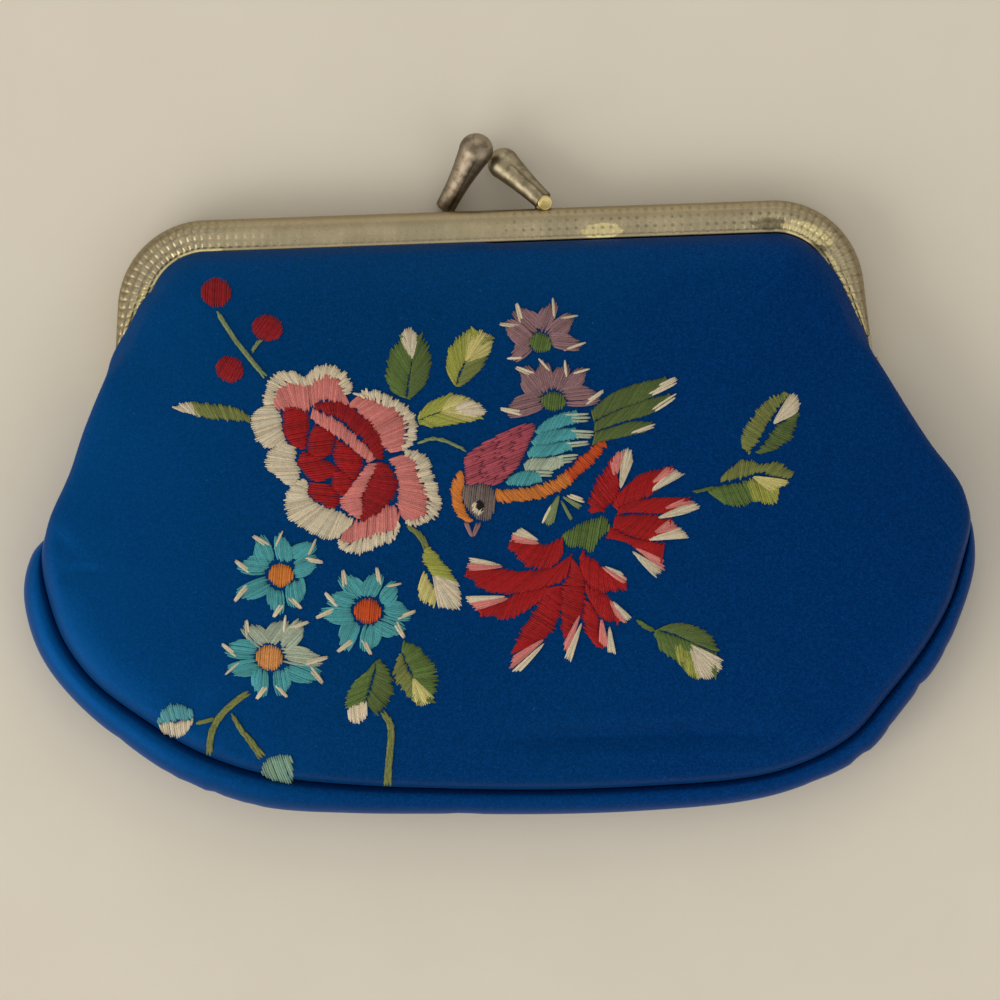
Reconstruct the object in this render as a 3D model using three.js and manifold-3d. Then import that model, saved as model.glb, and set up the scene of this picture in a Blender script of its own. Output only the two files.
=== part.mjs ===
// Embroidered satin coin purse on a stamped metal kiss-lock frame, lying closed on its back.
// Millimetres. +X runs along the frame's bar, +Y points from the pouch to the clasp,
// +Z points up from the surface that the purse lies on.
import * as THREE from 'three';
import { mergeVertices } from 'three/addons/utils/BufferGeometryUtils.js';
import Module from 'manifold-3d';

const wasm = await Module();
wasm.setup();

// Metal frame: two bent channels of sheet metal, one lying on the other
const frameSpan = 100;
const frameDrop = 22.75;
const cornerRadius = 11.75;
const armSplay = THREE.MathUtils.degToRad(5);
const wallDepth = 4.3;
const armEndDepth = 0.9;
const taperLength = 9;
const sheet = 0.6;
const slot = 2;

// Hinges: an ear on each arm end and one rivet through each pair of ears
const earLength = 4.6;
const earRadius = 2.2;
const rivetRadius = 0.9;
const rivetHeadRadius = 1.8;
const rivetHead = 0.5;

// Clasp fingers: foot and head of each, measured from the middle and the top edge of the bar
const fingerFootRadius = 1.35;
const fingerFootRise = 1.35;
const frontFootAcross = 7;
const frontHeadAcross = 2.3;
const frontHeadRise = 6.15;
const frontHeadRadius = 2.1;
const rearFootAcross = -5.2;
const rearHeadAcross = -1.25;
const rearHeadRise = 7.95;
const rearHeadRadius = 2.25;
const tenonRadius = 0.8;
const tenonReach = 0.2;

// Pouch: a padded front, a flat rear and a strip between them
const pouchHalfWidth = 62;
const pouchDrop = 76.25;
const bellyHeight = 15;
const seamHeight = 9.3;
const seamTuck = 5.6;
const lipRise = 2.6;
const bandBulge = 4.5;
const pleatDepth = 6;
const panelWall = 1.2;
const gussetWall = 1.1;
const rimInset = 1.3;
const shoulder = 8;
const foldDepth = 0.9;

// Clearance between pieces that touch
const fit = 0.32;

// Heights of the two frame halves above the floor
const halfDepth = 2 * sheet + slot;
const rearHalfBase = 0;
const frontHalfBase = halfDepth + fit;
const hingeHeight = halfDepth + fit / 2;
const heldShoulder = 0.78 * (cornerRadius - wallDepth - fit);
const rearSlotMiddle = rearHalfBase + halfDepth / 2;
const frontSlotMiddle = frontHalfBase + halfDepth / 2;

// Outline of the closed pouch seen from the front, from the right hinge round the bottom to the left.
// x is a share of pouchHalfWidth and drop, below the bar's top edge, one of pouchDrop. The front seam
// hides behind the fold by tuck of seamTuck, at height of seamHeight. The strip swells out by band of
// bandBulge or is pleated in by pleat of pleatDepth, and turned goes from 0 there to 1 where it shows.
// held is 1 where the cloth hangs from the hinges and keeps its place beside them, 0 where it is free.
const outlineRows = [
  { x: 0.81, drop: 0.2525, tuck: 0.57, height: 0.69, band: 0, pleat: 0.6, turned: 0, held: 1 },
  { x: 0.826, drop: 0.304, tuck: 0.75, height: 0.69, band: 0, pleat: 0.8, turned: 0, held: 1 },
  { x: 0.871, drop: 0.367, tuck: 0.75, height: 0.69, band: 0, pleat: 1, turned: 0, held: 0.8 },
  { x: 0.919, drop: 0.431, tuck: 0.43, height: 0.7, band: 0, pleat: 1, turned: 0, held: 0.5 },
  { x: 0.968, drop: 0.485, tuck: 0.3, height: 0.76, band: 0, pleat: 0.65, turned: 0.1, held: 0.25 },
  { x: 0.99, drop: 0.521, tuck: 0.2, height: 0.82, band: 0, pleat: 0.1, turned: 0.4, held: 0.1 },
  { x: 0.998, drop: 0.567, tuck: 0.06, height: 0.88, band: 0.1, pleat: 0, turned: 0.75, held: 0 },
  { x: 0.977, drop: 0.633, tuck: 0, height: 0.94, band: 0.4, pleat: 0, turned: 1, held: 0 },
  { x: 0.944, drop: 0.705, tuck: 0, height: 0.98, band: 0.48, pleat: 0, turned: 1, held: 0 },
  { x: 0.887, drop: 0.781, tuck: 0, height: 1, band: 0.6, pleat: 0, turned: 1, held: 0 },
  { x: 0.806, drop: 0.86, tuck: 0, height: 1, band: 0.64, pleat: 0, turned: 1, held: 0 },
  { x: 0.726, drop: 0.928, tuck: 0, height: 1, band: 0.66, pleat: 0, turned: 1, held: 0 },
  { x: 0.613, drop: 0.9725, tuck: 0, height: 1, band: 0.66, pleat: 0, turned: 1, held: 0 },
  { x: 0.484, drop: 0.993, tuck: 0, height: 1, band: 0.72, pleat: 0, turned: 1, held: 0 },
  { x: 0.282, drop: 1, tuck: 0, height: 1, band: 0.76, pleat: 0, turned: 1, held: 0 },
  { x: 0.081, drop: 1, tuck: 0, height: 1, band: 0.76, pleat: 0, turned: 1, held: 0 },
  { x: -0.129, drop: 0.991, tuck: 0, height: 1, band: 0.78, pleat: 0, turned: 1, held: 0 },
  { x: -0.323, drop: 0.979, tuck: 0, height: 1, band: 0.88, pleat: 0, turned: 1, held: 0 },
  { x: -0.5, drop: 0.959, tuck: 0, height: 1, band: 1, pleat: 0, turned: 1, held: 0 },
  { x: -0.645, drop: 0.915, tuck: 0, height: 1, band: 0.96, pleat: 0, turned: 1, held: 0 },
  { x: -0.766, drop: 0.853, tuck: 0, height: 1, band: 0.93, pleat: 0, turned: 1, held: 0 },
  { x: -0.863, drop: 0.789, tuck: 0, height: 1, band: 0.82, pleat: 0, turned: 1, held: 0 },
  { x: -0.926, drop: 0.713, tuck: 0, height: 0.98, band: 0.84, pleat: 0, turned: 1, held: 0 },
  { x: -0.958, drop: 0.633, tuck: 0, height: 0.94, band: 0.73, pleat: 0, turned: 1, held: 0 },
  { x: -0.968, drop: 0.567, tuck: 0.04, height: 0.88, band: 0.38, pleat: 0, turned: 0.85, held: 0 },
  { x: -0.957, drop: 0.525, tuck: 0.15, height: 0.82, band: 0.02, pleat: 0, turned: 0.5, held: 0.1 },
  { x: -0.94, drop: 0.49, tuck: 0.29, height: 0.77, band: 0, pleat: 0.5, turned: 0.1, held: 0.25 },
  { x: -0.903, drop: 0.4295, tuck: 0.43, height: 0.7, band: 0, pleat: 1, turned: 0, held: 0.5 },
  { x: -0.867, drop: 0.36, tuck: 0.7, height: 0.69, band: 0, pleat: 1, turned: 0, held: 0.8 },
  { x: -0.833, drop: 0.298, tuck: 0.9, height: 0.69, band: 0, pleat: 0.8, turned: 0, held: 1 },
  { x: -0.81, drop: 0.2525, tuck: 0.6, height: 0.69, band: 0, pleat: 0.6, turned: 0, held: 1 },
];
const stationsPerRow = 2;

// Where the hinges lie in that outline, as shares of the same two sizes
const hingeXShare = 0.806;
const hingeDropShare = 0.298;

// Cross-sections of the front panel, from its edge inwards. in is a share of shoulder, or of
// heldShoulder in the channel, and up one of the rise to the belly. The tucked section starts behind
// the fold, by back of the row's tuck, and climbs lip of lipRise round it.
const tuckedSection = [
  { back: 1, in: 0, up: 0, lip: 0 },
  { back: 0.5, in: 0, up: 0, lip: 0.12 },
  { back: 0, in: 0, up: 0, lip: 1 },
  { back: 0, in: 0.09, up: 0.2, lip: 1 },
  { back: 0, in: 0.42, up: 0.4, lip: 1 },
  { back: 0, in: 1, up: 0.56, lip: 1 },
];
const seamedSection = [
  { in: 0, up: 0 },
  { in: 0.04, up: 0.15 },
  { in: 0.11, up: 0.3 },
  { in: 0.24, up: 0.46 },
  { in: 0.52, up: 0.64 },
  { in: 1, up: 0.78 },
];
const heldSection = [
  { in: 0, up: 0 },
  { in: 0, up: 0 },
  { in: 0.14, up: 0.14 },
  { in: 0.32, up: 0.32 },
  { in: 0.6, up: 0.51 },
  { in: 1, up: 0.68 },
];
const domeShares = [0.8, 0.6, 0.4, 0.2];
const domePower = 2.2;
const domeCentreDrop = 0.5;

// Section of the strip, from the front seam down to the rear seam
const stripSection = [
  { down: 0, out: 0, inward: 0, lift: 0 },
  { down: 0.07, out: 0.42, inward: 0.12, lift: 0.16 },
  { down: 0.23, out: 0.9, inward: 0.6, lift: 0.06 },
  { down: 0.48, out: 1, inward: 1, lift: 0 },
  { down: 0.74, out: 0.85, inward: 0.7, lift: 0 },
  { down: 0.93, out: 0.5, inward: 0.15, lift: 0 },
  { down: 1, out: 0.1, inward: 0, lift: 0 },
];

// Folds pressed into the front: both ends, depth and half width, as shares of the outline's sizes,
// of foldDepth and of shoulder
const folds = [
  { fromX: 0.08, fromDrop: 0.905, toX: 0.5, toDrop: 0.912, depth: 1, width: 0.22 },
  { fromX: 0.38, fromDrop: 0.17, toX: 0.56, toDrop: 0.13, depth: 0.6, width: 0.25 },
];

const satinBlue = new THREE.Color(0.01, 0.07, 0.22);
const nickel = new THREE.Color(0.62, 0.59, 0.52);
const wornNickel = new THREE.Color(0.5, 0.47, 0.4);

// Places along the frame's outer edge, from the left arm's end over the bar to the right arm's end
function frameStations() {
  const cornerSteps = 7;
  const barSteps = 12;
  const armSteps = 4;
  const tangentRise = frameDrop - cornerRadius * (1 - Math.sin(armSplay));
  const armLength = tangentRise / Math.cos(armSplay);
  const centreAcross = frameSpan / 2 - armLength * Math.sin(armSplay) - cornerRadius * Math.cos(armSplay);

  const rightSide = [];
  for (let i = 0; i < cornerSteps; i += 1) {
    const angle = THREE.MathUtils.lerp(Math.PI / 2, armSplay, i / cornerSteps);
    rightSide.push({
      x: centreAcross + cornerRadius * Math.cos(angle),
      y: cornerRadius * (Math.sin(angle) - 1),
      inX: -Math.cos(angle),
      inY: -Math.sin(angle),
      along: armLength + cornerRadius * (angle - armSplay),
    });
  }
  for (let i = 0; i <= armSteps; i += 1) {
    const along = THREE.MathUtils.lerp(armLength, earLength, i / armSteps);
    rightSide.push({
      x: frameSpan / 2 - along * Math.sin(armSplay),
      y: -frameDrop + along * Math.cos(armSplay),
      inX: -Math.cos(armSplay),
      inY: -Math.sin(armSplay),
      along,
    });
  }
  const leftSide = rightSide.map((s) => ({ ...s, x: -s.x, inX: -s.inX })).reverse();
  const bar = [];
  for (let i = 1; i < barSteps; i += 1) {
    const x = THREE.MathUtils.lerp(-centreAcross, centreAcross, i / barSteps);
    bar.push({ x, y: 0, inX: 0, inY: -1, along: armLength + cornerRadius * Math.PI });
  }
  return [...leftSide, ...bar, ...rightSide];
}

// How deep the channel's walls are: full on the bar, tapering towards the hinges
function channelDepth(station) {
  const share = THREE.MathUtils.clamp((station.along - earLength) / taperLength, 0, 1);
  return THREE.MathUtils.lerp(armEndDepth, wallDepth, share);
}

// A station moved inwards by a length, at a height
function placed(station, inset, height) {
  return new THREE.Vector3(station.x + station.inX * inset, station.y + station.inY * inset, height);
}

// Closed solid through a row of like sections, each a closed loop of points
function loft(sections) {
  const count = sections[0].length;
  const positions = sections.flat().flatMap((p) => [p.x, p.y, p.z]);
  const faces = [];
  for (let i = 0; i + 1 < sections.length; i += 1) {
    for (let j = 0; j < count; j += 1) {
      const next = (j + 1) % count;
      const a = i * count + j;
      const b = i * count + next;
      faces.push([a, b, b + count], [a, b + count, a + count]);
    }
  }
  for (const [first, followsLoop] of [[0, false], [sections.length - 1, true]]) {
    const section = sections[first];
    const across = section[2].clone().sub(section[1]).normalize();
    const flat = section.map((p) => new THREE.Vector2(p.clone().sub(section[0]).dot(across), p.z));
    const loopTurn = Math.sign(THREE.ShapeUtils.area(flat));
    for (const face of THREE.ShapeUtils.triangulateShape(flat, [])) {
      const faceTurn = Math.sign(THREE.ShapeUtils.area(face.map((corner) => flat[corner])));
      const corners = face.map((corner) => first * count + corner);
      faces.push((faceTurn === loopTurn) === followsLoop ? corners : corners.reverse());
    }
  }
  return fromFaces(positions, faces);
}

// Indexed geometry whose faces point outwards
function fromFaces(positions, faces) {
  const at = (i) => new THREE.Vector3().fromArray(positions, 3 * i);
  const sixVolumes = faces.reduce((sum, [a, b, c]) => sum + at(a).dot(at(b).cross(at(c))), 0);
  const outward = sixVolumes > 0 ? faces : faces.map(([a, b, c]) => [a, c, b]);
  const geometry = new THREE.BufferGeometry();
  geometry.setAttribute('position', new THREE.Float32BufferAttribute(positions, 3));
  geometry.setIndex(outward.flat());
  return geometry;
}

// Closed wall of cloth under a grid of outer points, given as rows that all have the same length and
// follow each other so that the wall lies to the left of their way inwards, as seen from outside.
// A looped grid closes round and ends in one middle point; an open one has four edges.
function clothWall(rows, wall, middle) {
  const looped = middle !== undefined;
  const rowLength = rows[0].length;
  const points = rows.flat();
  if (looped) {
    points.push(middle);
  }
  const at = (i, j) => (j === rowLength ? points.length - 1 : (i % rows.length) * rowLength + j);
  const lastRow = looped ? rows.length : rows.length - 1;
  const lastColumn = looped ? rowLength : rowLength - 1;
  const outer = [];
  for (let i = 0; i < lastRow; i += 1) {
    for (let j = 0; j < lastColumn; j += 1) {
      outer.push([at(i, j), at(i + 1, j), at(i + 1, j + 1)]);
      if (at(i, j + 1) !== at(i + 1, j + 1)) {
        outer.push([at(i, j), at(i + 1, j + 1), at(i, j + 1)]);
      }
    }
  }
  const surface = new THREE.BufferGeometry();
  surface.setAttribute('position', new THREE.Float32BufferAttribute(points.flatMap((p) => p.toArray()), 3));
  surface.setIndex(outer.flat());
  surface.computeVertexNormals();
  const normals = surface.getAttribute('normal');
  const inner = points.map((p, i) => p.clone().addScaledVector(new THREE.Vector3().fromBufferAttribute(normals, i), -wall));

  const edge = [];
  const rim = (a, b) => edge.push([b, a, a + points.length], [b, a + points.length, b + points.length]);
  for (let i = 0; i < lastRow; i += 1) {
    rim(at(i, 0), at(i + 1, 0));
    if (!looped) {
      rim(at(i + 1, lastColumn), at(i, lastColumn));
    }
  }
  for (let j = 0; j < lastColumn && !looped; j += 1) {
    rim(at(0, j + 1), at(0, j));
    rim(at(lastRow, j), at(lastRow, j + 1));
  }
  const innerFaces = outer.map(([a, b, c]) => [a + points.length, c + points.length, b + points.length]);
  const positions = [...points, ...inner].flatMap((p) => p.toArray());
  return fromFaces(positions, [...outer, ...innerFaces, ...edge]);
}

// Solids for joining and cutting, and back
function asSolid(geometry) {
  const bare = geometry.clone();
  bare.deleteAttribute('normal');
  bare.deleteAttribute('uv');
  const merged = mergeVertices(bare);
  return new wasm.Manifold(new wasm.Mesh({
    numProp: 3,
    vertProperties: new Float32Array(merged.getAttribute('position').array),
    triVerts: new Uint32Array(merged.getIndex().array),
  }));
}

function asGeometry(solid) {
  const mesh = solid.getMesh();
  const geometry = new THREE.BufferGeometry();
  geometry.setAttribute('position', new THREE.BufferAttribute(mesh.vertProperties, 3));
  geometry.setIndex(new THREE.BufferAttribute(mesh.triVerts, 1));
  return geometry;
}

// Ear of one arm: a neck from the channel's end and a round eye about the hinge.
// depthIn is how far it lies inside the frame's outer edge.
function ear(side, depthIn, neckOutline) {
  const alongArm = new THREE.Vector3(-side * Math.sin(armSplay), Math.cos(armSplay), 0);
  const up = new THREE.Vector3(0, 0, 1);
  const inward = new THREE.Vector3(-side * Math.cos(armSplay), -Math.sin(armSplay), 0);
  const base = new THREE.Vector3((side * frameSpan) / 2, -frameDrop, 0);
  base.addScaledVector(inward, side < 0 ? depthIn : depthIn + sheet);
  const place = new THREE.Matrix4().makeBasis(alongArm, up, alongArm.clone().cross(up)).setPosition(base);

  const eye = new THREE.Shape().absarc(0, hingeHeight, earRadius, 0, 2 * Math.PI, false);
  const neck = new THREE.Shape(neckOutline.map(([along, height]) => new THREE.Vector2(along, height)));
  const plates = [eye, neck].map((shape) => {
    const plate = new THREE.ExtrudeGeometry(shape, { depth: sheet, bevelEnabled: false, curveSegments: 16 });
    return asSolid(plate.applyMatrix4(place));
  });
  return plates[0].add(plates[1]);
}

// Cylinder between two heights or places along one axis, as a solid for cutting and joining
function rod(radius, length, centre, axis) {
  const geometry = new THREE.CylinderGeometry(radius, radius, length, 16);
  const turn = new THREE.Quaternion().setFromUnitVectors(new THREE.Vector3(0, 1, 0), axis);
  return asSolid(geometry.applyQuaternion(turn).translate(...centre.toArray()));
}

// One half of the frame: a channel bent round the bar and arms, its ears, and the hole for its finger
function frameHalf(base, earDepth, neckOutline, footAcross) {
  const top = base + halfDepth;
  const sections = frameStations().map((station) => {
    const depth = channelDepth(station);
    return [
      placed(station, 0, base),
      placed(station, 0, top),
      placed(station, depth, top),
      placed(station, depth, top - sheet),
      placed(station, sheet, top - sheet),
      placed(station, sheet, base + sheet),
      placed(station, depth, base + sheet),
      placed(station, depth, base),
    ];
  });
  let half = asSolid(loft(sections));
  for (const side of [-1, 1]) {
    const pivot = new THREE.Vector3((side * frameSpan) / 2, -frameDrop, hingeHeight);
    const hole = rod(rivetRadius + fit, 4 * earRadius, pivot, new THREE.Vector3(1, 0, 0));
    half = half.add(ear(side, earDepth, neckOutline)).subtract(hole);
  }
  const tenonPlace = new THREE.Vector3(footAcross, 0, base + halfDepth / 2);
  return half.subtract(rod(tenonRadius + fit, 3 * sheet, tenonPlace, new THREE.Vector3(0, 1, 0)));
}

// Front ears run straight on from the channel's outer wall; rear ears are set in beside them
function frontFrame() {
  const overlap = sheet;
  const neck = [
    [0, hingeHeight],
    [earLength + overlap, frontHalfBase],
    [earLength + overlap, frontHalfBase + halfDepth],
    [0, hingeHeight + earRadius],
  ];
  return asGeometry(frameHalf(frontHalfBase, 0, neck, frontFootAcross));
}

function rearFrame() {
  const reach = earLength + 2 * sheet;
  const inset = sheet + fit;
  const neck = [
    [0, hingeHeight - earRadius],
    [reach, rearHalfBase + sheet],
    [reach, rearHalfBase + halfDepth - sheet],
    [0, hingeHeight],
  ];
  const half = frameHalf(rearHalfBase, inset, neck, rearFootAcross);
  return asGeometry([-1, 1].reduce((solid, side) => solid.add(earStep(side, reach, inset)), half));
}

// Solid step that carries a rear ear on the inside of the channel's outer wall
function earStep(side, reach, inset) {
  const width = 2 * sheet;
  const step = new THREE.BoxGeometry(inset + sheet / 2, width, slot + sheet);
  step.rotateZ(side * armSplay);
  const along = reach - width / 2;
  const depth = (inset + sheet / 2) / 2 + sheet / 2;
  step.translate(
    side * (frameSpan / 2 - along * Math.sin(armSplay) - depth * Math.cos(armSplay)),
    -frameDrop + along * Math.cos(armSplay) - depth * Math.sin(armSplay),
    rearSlotMiddle,
  );
  return asSolid(step);
}

// Rivet with two round heads, along the hinge axis
function hingeRivet(side) {
  const grip = 2 * sheet + fit;
  const outerFace = -fit - rivetHead;
  const innerFace = grip + fit + rivetHead;
  const profile = [
    [0, outerFace],
    [rivetHeadRadius, outerFace],
    [rivetHeadRadius, -fit],
    [rivetRadius, -fit],
    [rivetRadius, grip + fit],
    [rivetHeadRadius, grip + fit],
    [rivetHeadRadius, innerFace],
    [0, innerFace],
  ].map(([radius, depth]) => new THREE.Vector2(radius, depth));
  const geometry = mergedLathe(profile, 16);
  geometry.rotateZ(side > 0 ? Math.PI / 2 : -Math.PI / 2);
  return geometry.translate((side * frameSpan) / 2, -frameDrop, hingeHeight);
}

function mergedLathe(profile, segments) {
  const lathe = new THREE.LatheGeometry(profile, segments);
  lathe.deleteAttribute('normal');
  lathe.deleteAttribute('uv');
  return asGeometry(asSolid(lathe));
}

// Teardrop finger from its foot on the bar to its round head, with a tenon through the bar's top wall
function claspFinger(foot, head, headRadius) {
  const axis = head.clone().sub(foot);
  const length = axis.length();
  const profile = [new THREE.Vector2(0, 0), new THREE.Vector2(fingerFootRadius, 0)];
  const domeSteps = 7;
  const waist = Math.asin((headRadius - fingerFootRadius) / length);
  for (let i = 0; i <= domeSteps; i += 1) {
    const angle = THREE.MathUtils.lerp(-waist, Math.PI / 2, i / domeSteps);
    profile.push(new THREE.Vector2(headRadius * Math.cos(angle), length + headRadius * Math.sin(angle)));
  }
  profile[profile.length - 1].x = 0;
  const drop = mergedLathe(profile, 18);
  drop.applyQuaternion(new THREE.Quaternion().setFromUnitVectors(new THREE.Vector3(0, 1, 0), axis.normalize()));
  drop.translate(...foot.toArray());
  const tenonTop = foot.y + fingerFootRadius / 2;
  const tenonEnd = -sheet - tenonReach;
  const tenonMiddle = new THREE.Vector3(foot.x, (tenonTop + tenonEnd) / 2, foot.z);
  const tenon = rod(tenonRadius, tenonTop - tenonEnd, tenonMiddle, new THREE.Vector3(0, 1, 0));
  return asGeometry(asSolid(drop).add(tenon));
}

// The heads cross: the rear finger's head lies in front of the front finger's head
function frontFinger() {
  const foot = new THREE.Vector3(frontFootAcross, fingerFootRise, frontSlotMiddle);
  const head = new THREE.Vector3(frontHeadAcross, frontHeadRise, frontHeadRadius + fit);
  return claspFinger(foot, head, frontHeadRadius);
}

function rearFinger() {
  const foot = new THREE.Vector3(rearFootAcross, fingerFootRise, rearSlotMiddle);
  const head = new THREE.Vector3(rearHeadAcross, rearHeadRise, rearHeadRadius + halfDepth);
  return claspFinger(foot, head, rearHeadRadius);
}

// Corner of the outline: its share of the pouch's sizes, carried along by the frame's hinge where held
function outlineCorner(row) {
  const hingeAcross = frameSpan / 2 - hingeXShare * pouchHalfWidth;
  const hingeDown = frameDrop - hingeDropShare * pouchDrop;
  return new THREE.Vector3(
    row.x * pouchHalfWidth + Math.sign(row.x) * row.held * hingeAcross,
    -row.drop * pouchDrop - row.held * hingeDown,
    0,
  );
}

// Places round the free part of the pouch, from the right hinge to the left, with the rows' values
function pouchStations() {
  const corners = outlineRows.map(outlineCorner);
  const curve = new THREE.CatmullRomCurve3(corners, false, 'centripetal');
  const last = outlineRows.length - 1;
  const stations = [];
  for (let i = 0; i <= last * stationsPerRow; i += 1) {
    const rowPlace = i / stationsPerRow;
    const row = Math.min(Math.floor(rowPlace), last - 1);
    const mix = (key) => THREE.MathUtils.lerp(outlineRows[row][key], outlineRows[row + 1][key], rowPlace - row);
    const point = curve.getPoint(rowPlace / last);
    const tangent = curve.getTangent(rowPlace / last);
    stations.push({
      x: point.x,
      y: point.y,
      inX: tangent.y,
      inY: -tangent.x,
      tuck: mix('tuck') * seamTuck,
      height: mix('height') * seamHeight,
      band: mix('band') * bandBulge,
      pleat: mix('pleat') * pleatDepth,
      turned: mix('turned'),
    });
  }
  return stations;
}

// Edge of cloth in the channel, held back where the rear ears' steps stand
function heldInset(station) {
  const stepEnd = earLength + 4 * sheet;
  return station.along < stepEnd ? 2 * sheet + 2 * fit + sheet / 2 : rimInset;
}

// Half section of the front panel at a free station, as inset and height pairs
function freeFrontSection(station) {
  const rise = bellyHeight - seamHeight;
  return tuckedSection.map((tucked, i) => {
    const seamed = seamedSection[i];
    const tuckedIn = tucked.back * station.tuck + tucked.in * shoulder;
    const tuckedUp = tucked.lip * lipRise + tucked.up * rise;
    return [
      THREE.MathUtils.lerp(tuckedIn, seamed.in * shoulder, station.turned),
      station.height + THREE.MathUtils.lerp(tuckedUp, seamed.up * rise, station.turned),
    ];
  });
}

// The same in the channel: level in the slot, then up over the belly
function heldFrontSection(station) {
  const level = frontSlotMiddle + panelWall / 2;
  const mouth = Math.max(channelDepth(station), heldInset(station)) + fit;
  return heldSection.map((row, i) => [
    i === 0 ? heldInset(station) : mouth + row.in * heldShoulder,
    level + row.up * (bellyHeight - level),
  ]);
}

// How far the folds press the front in at a place
function foldAt(point) {
  return folds.reduce((sum, fold) => {
    const from = new THREE.Vector2(fold.fromX * pouchHalfWidth, -fold.fromDrop * pouchDrop);
    const to = new THREE.Vector2(fold.toX * pouchHalfWidth, -fold.toDrop * pouchDrop);
    const run = to.clone().sub(from);
    const offset = new THREE.Vector2(point.x, point.y).sub(from);
    const share = offset.dot(run) / run.lengthSq();
    const nearest = run.clone().multiplyScalar(THREE.MathUtils.clamp(share, 0, 1));
    const away = offset.sub(nearest).length() / (fold.width * shoulder);
    return sum + fold.depth * foldDepth * Math.exp(-away * away);
  }, 0);
}

function frontPanel() {
  const middle = new THREE.Vector3(0, -domeCentreDrop * pouchDrop, bellyHeight);
  const held = frameStations().map((station) => ({ station, section: heldFrontSection(station) }));
  const free = pouchStations().map((station) => ({ station, section: freeFrontSection(station) }));
  const rows = [...held, ...free].map(({ station, section }) => {
    const row = section.map(([inset, height]) => placed(station, inset, height));
    const last = row[row.length - 1];
    for (const share of domeShares) {
      const point = middle.clone().lerp(last, share);
      point.z = bellyHeight - (bellyHeight - last.z) * share ** domePower;
      row.push(point);
    }
    const firstFolded = 3;
    for (const point of row.slice(firstFolded)) {
      point.z -= foldAt(point);
    }
    return row;
  });
  return clothWall(rows.reverse(), panelWall, middle);
}

// The rear panel lies flat on the floor and rises only into the rear channel
function rearPanel() {
  const level = rearSlotMiddle - panelWall / 2;
  const held = frameStations().map((station) => {
    const mouth = Math.max(channelDepth(station), heldInset(station)) + fit;
    return [
      placed(station, heldInset(station), level),
      placed(station, mouth, level),
      placed(station, mouth + 2 * level, 0),
    ];
  });
  const free = pouchStations().map((station) => {
    const edge = station.tuck + fit;
    return [placed(station, edge, 0), placed(station, edge + fit, 0), placed(station, edge + 2 * level, 0)];
  });
  const middle = new THREE.Vector3(0, -domeCentreDrop * pouchDrop, 0);
  return clothWall([...held, ...free], panelWall, middle);
}

// The strip joins the two seams: pleated inwards below the hinges, swelling outwards round the bottom
function gusset() {
  const rows = pouchStations().map((station) => {
    const [[seamIn, seamUp], [nextIn, nextUp]] = freeFrontSection(station);
    const seamGap = fit * (3 - 2 * station.turned);
    const away = new THREE.Vector2(seamIn - nextIn, seamUp - nextUp).setLength(seamGap);
    const startIn = seamIn + away.x;
    const startUp = seamUp + away.y;
    const endIn = station.tuck + 2 * fit;
    const endUp = panelWall + fit * (2 - station.turned) + gussetWall * (1 - station.turned);
    return stripSection.map((row) => placed(
      station,
      THREE.MathUtils.lerp(startIn, endIn, row.down) + row.inward * station.pleat - row.out * station.band,
      THREE.MathUtils.lerp(startUp, endUp, row.down) + row.lift * station.band,
    ));
  });
  return clothWall(rows, gussetWall);
}

function satin() {
  return new THREE.MeshStandardMaterial({ color: satinBlue, roughness: 0.45, metalness: 0 });
}

function plating(color, roughness) {
  return new THREE.MeshStandardMaterial({ color, roughness, metalness: 1 });
}

const pieces = [
  ['rear_frame', rearFrame(), plating(wornNickel, 0.4)],
  ['front_frame', frontFrame(), plating(wornNickel, 0.4)],
  ['left_hinge_rivet', hingeRivet(-1), plating(wornNickel, 0.35)],
  ['right_hinge_rivet', hingeRivet(1), plating(wornNickel, 0.35)],
  ['rear_clasp_finger', rearFinger(), plating(nickel, 0.2)],
  ['front_clasp_finger', frontFinger(), plating(nickel, 0.2)],
  ['rear_panel', rearPanel(), satin()],
  ['gusset', gusset(), satin()],
  ['front_panel', frontPanel(), satin()],
];

const purse = new THREE.Group();
for (const [name, geometry, material] of pieces) {
  const mesh = new THREE.Mesh(geometry, material);
  mesh.name = name;
  purse.add(mesh);
}

// The origin is under the middle of the whole purse, on the floor
const extent = new THREE.Box3().setFromObject(purse);
const centre = extent.getCenter(new THREE.Vector3());
purse.position.set(-centre.x, -centre.y, -extent.min.z);
purse.updateMatrixWorld(true);

export default purse;
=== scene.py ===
# Embroidered satin coin purse on a stamped nickel clasp frame, lying closed on its back.
# Sizes are in millimetres until a mesh is made, in the frame's own axes: X along the bar,
# Y from the pouch to the clasp, Z up.
import math

import bmesh
import bpy
import numpy as np
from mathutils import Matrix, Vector
from mathutils.bvhtree import BVHTree


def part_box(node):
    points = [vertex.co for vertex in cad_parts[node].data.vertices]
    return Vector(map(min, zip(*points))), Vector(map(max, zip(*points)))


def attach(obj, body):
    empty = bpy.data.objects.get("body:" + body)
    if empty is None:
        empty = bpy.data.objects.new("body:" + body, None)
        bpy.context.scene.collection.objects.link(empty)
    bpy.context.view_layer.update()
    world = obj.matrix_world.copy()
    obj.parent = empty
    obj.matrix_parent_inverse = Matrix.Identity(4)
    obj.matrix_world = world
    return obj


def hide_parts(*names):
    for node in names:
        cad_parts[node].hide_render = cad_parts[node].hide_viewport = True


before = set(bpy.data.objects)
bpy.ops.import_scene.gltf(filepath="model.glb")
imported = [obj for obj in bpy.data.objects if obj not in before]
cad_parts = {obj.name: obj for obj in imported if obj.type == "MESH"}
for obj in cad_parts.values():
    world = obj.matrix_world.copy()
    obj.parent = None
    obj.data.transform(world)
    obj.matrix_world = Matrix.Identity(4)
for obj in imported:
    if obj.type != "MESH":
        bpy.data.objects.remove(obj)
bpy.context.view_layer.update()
MM = 0.001

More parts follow.
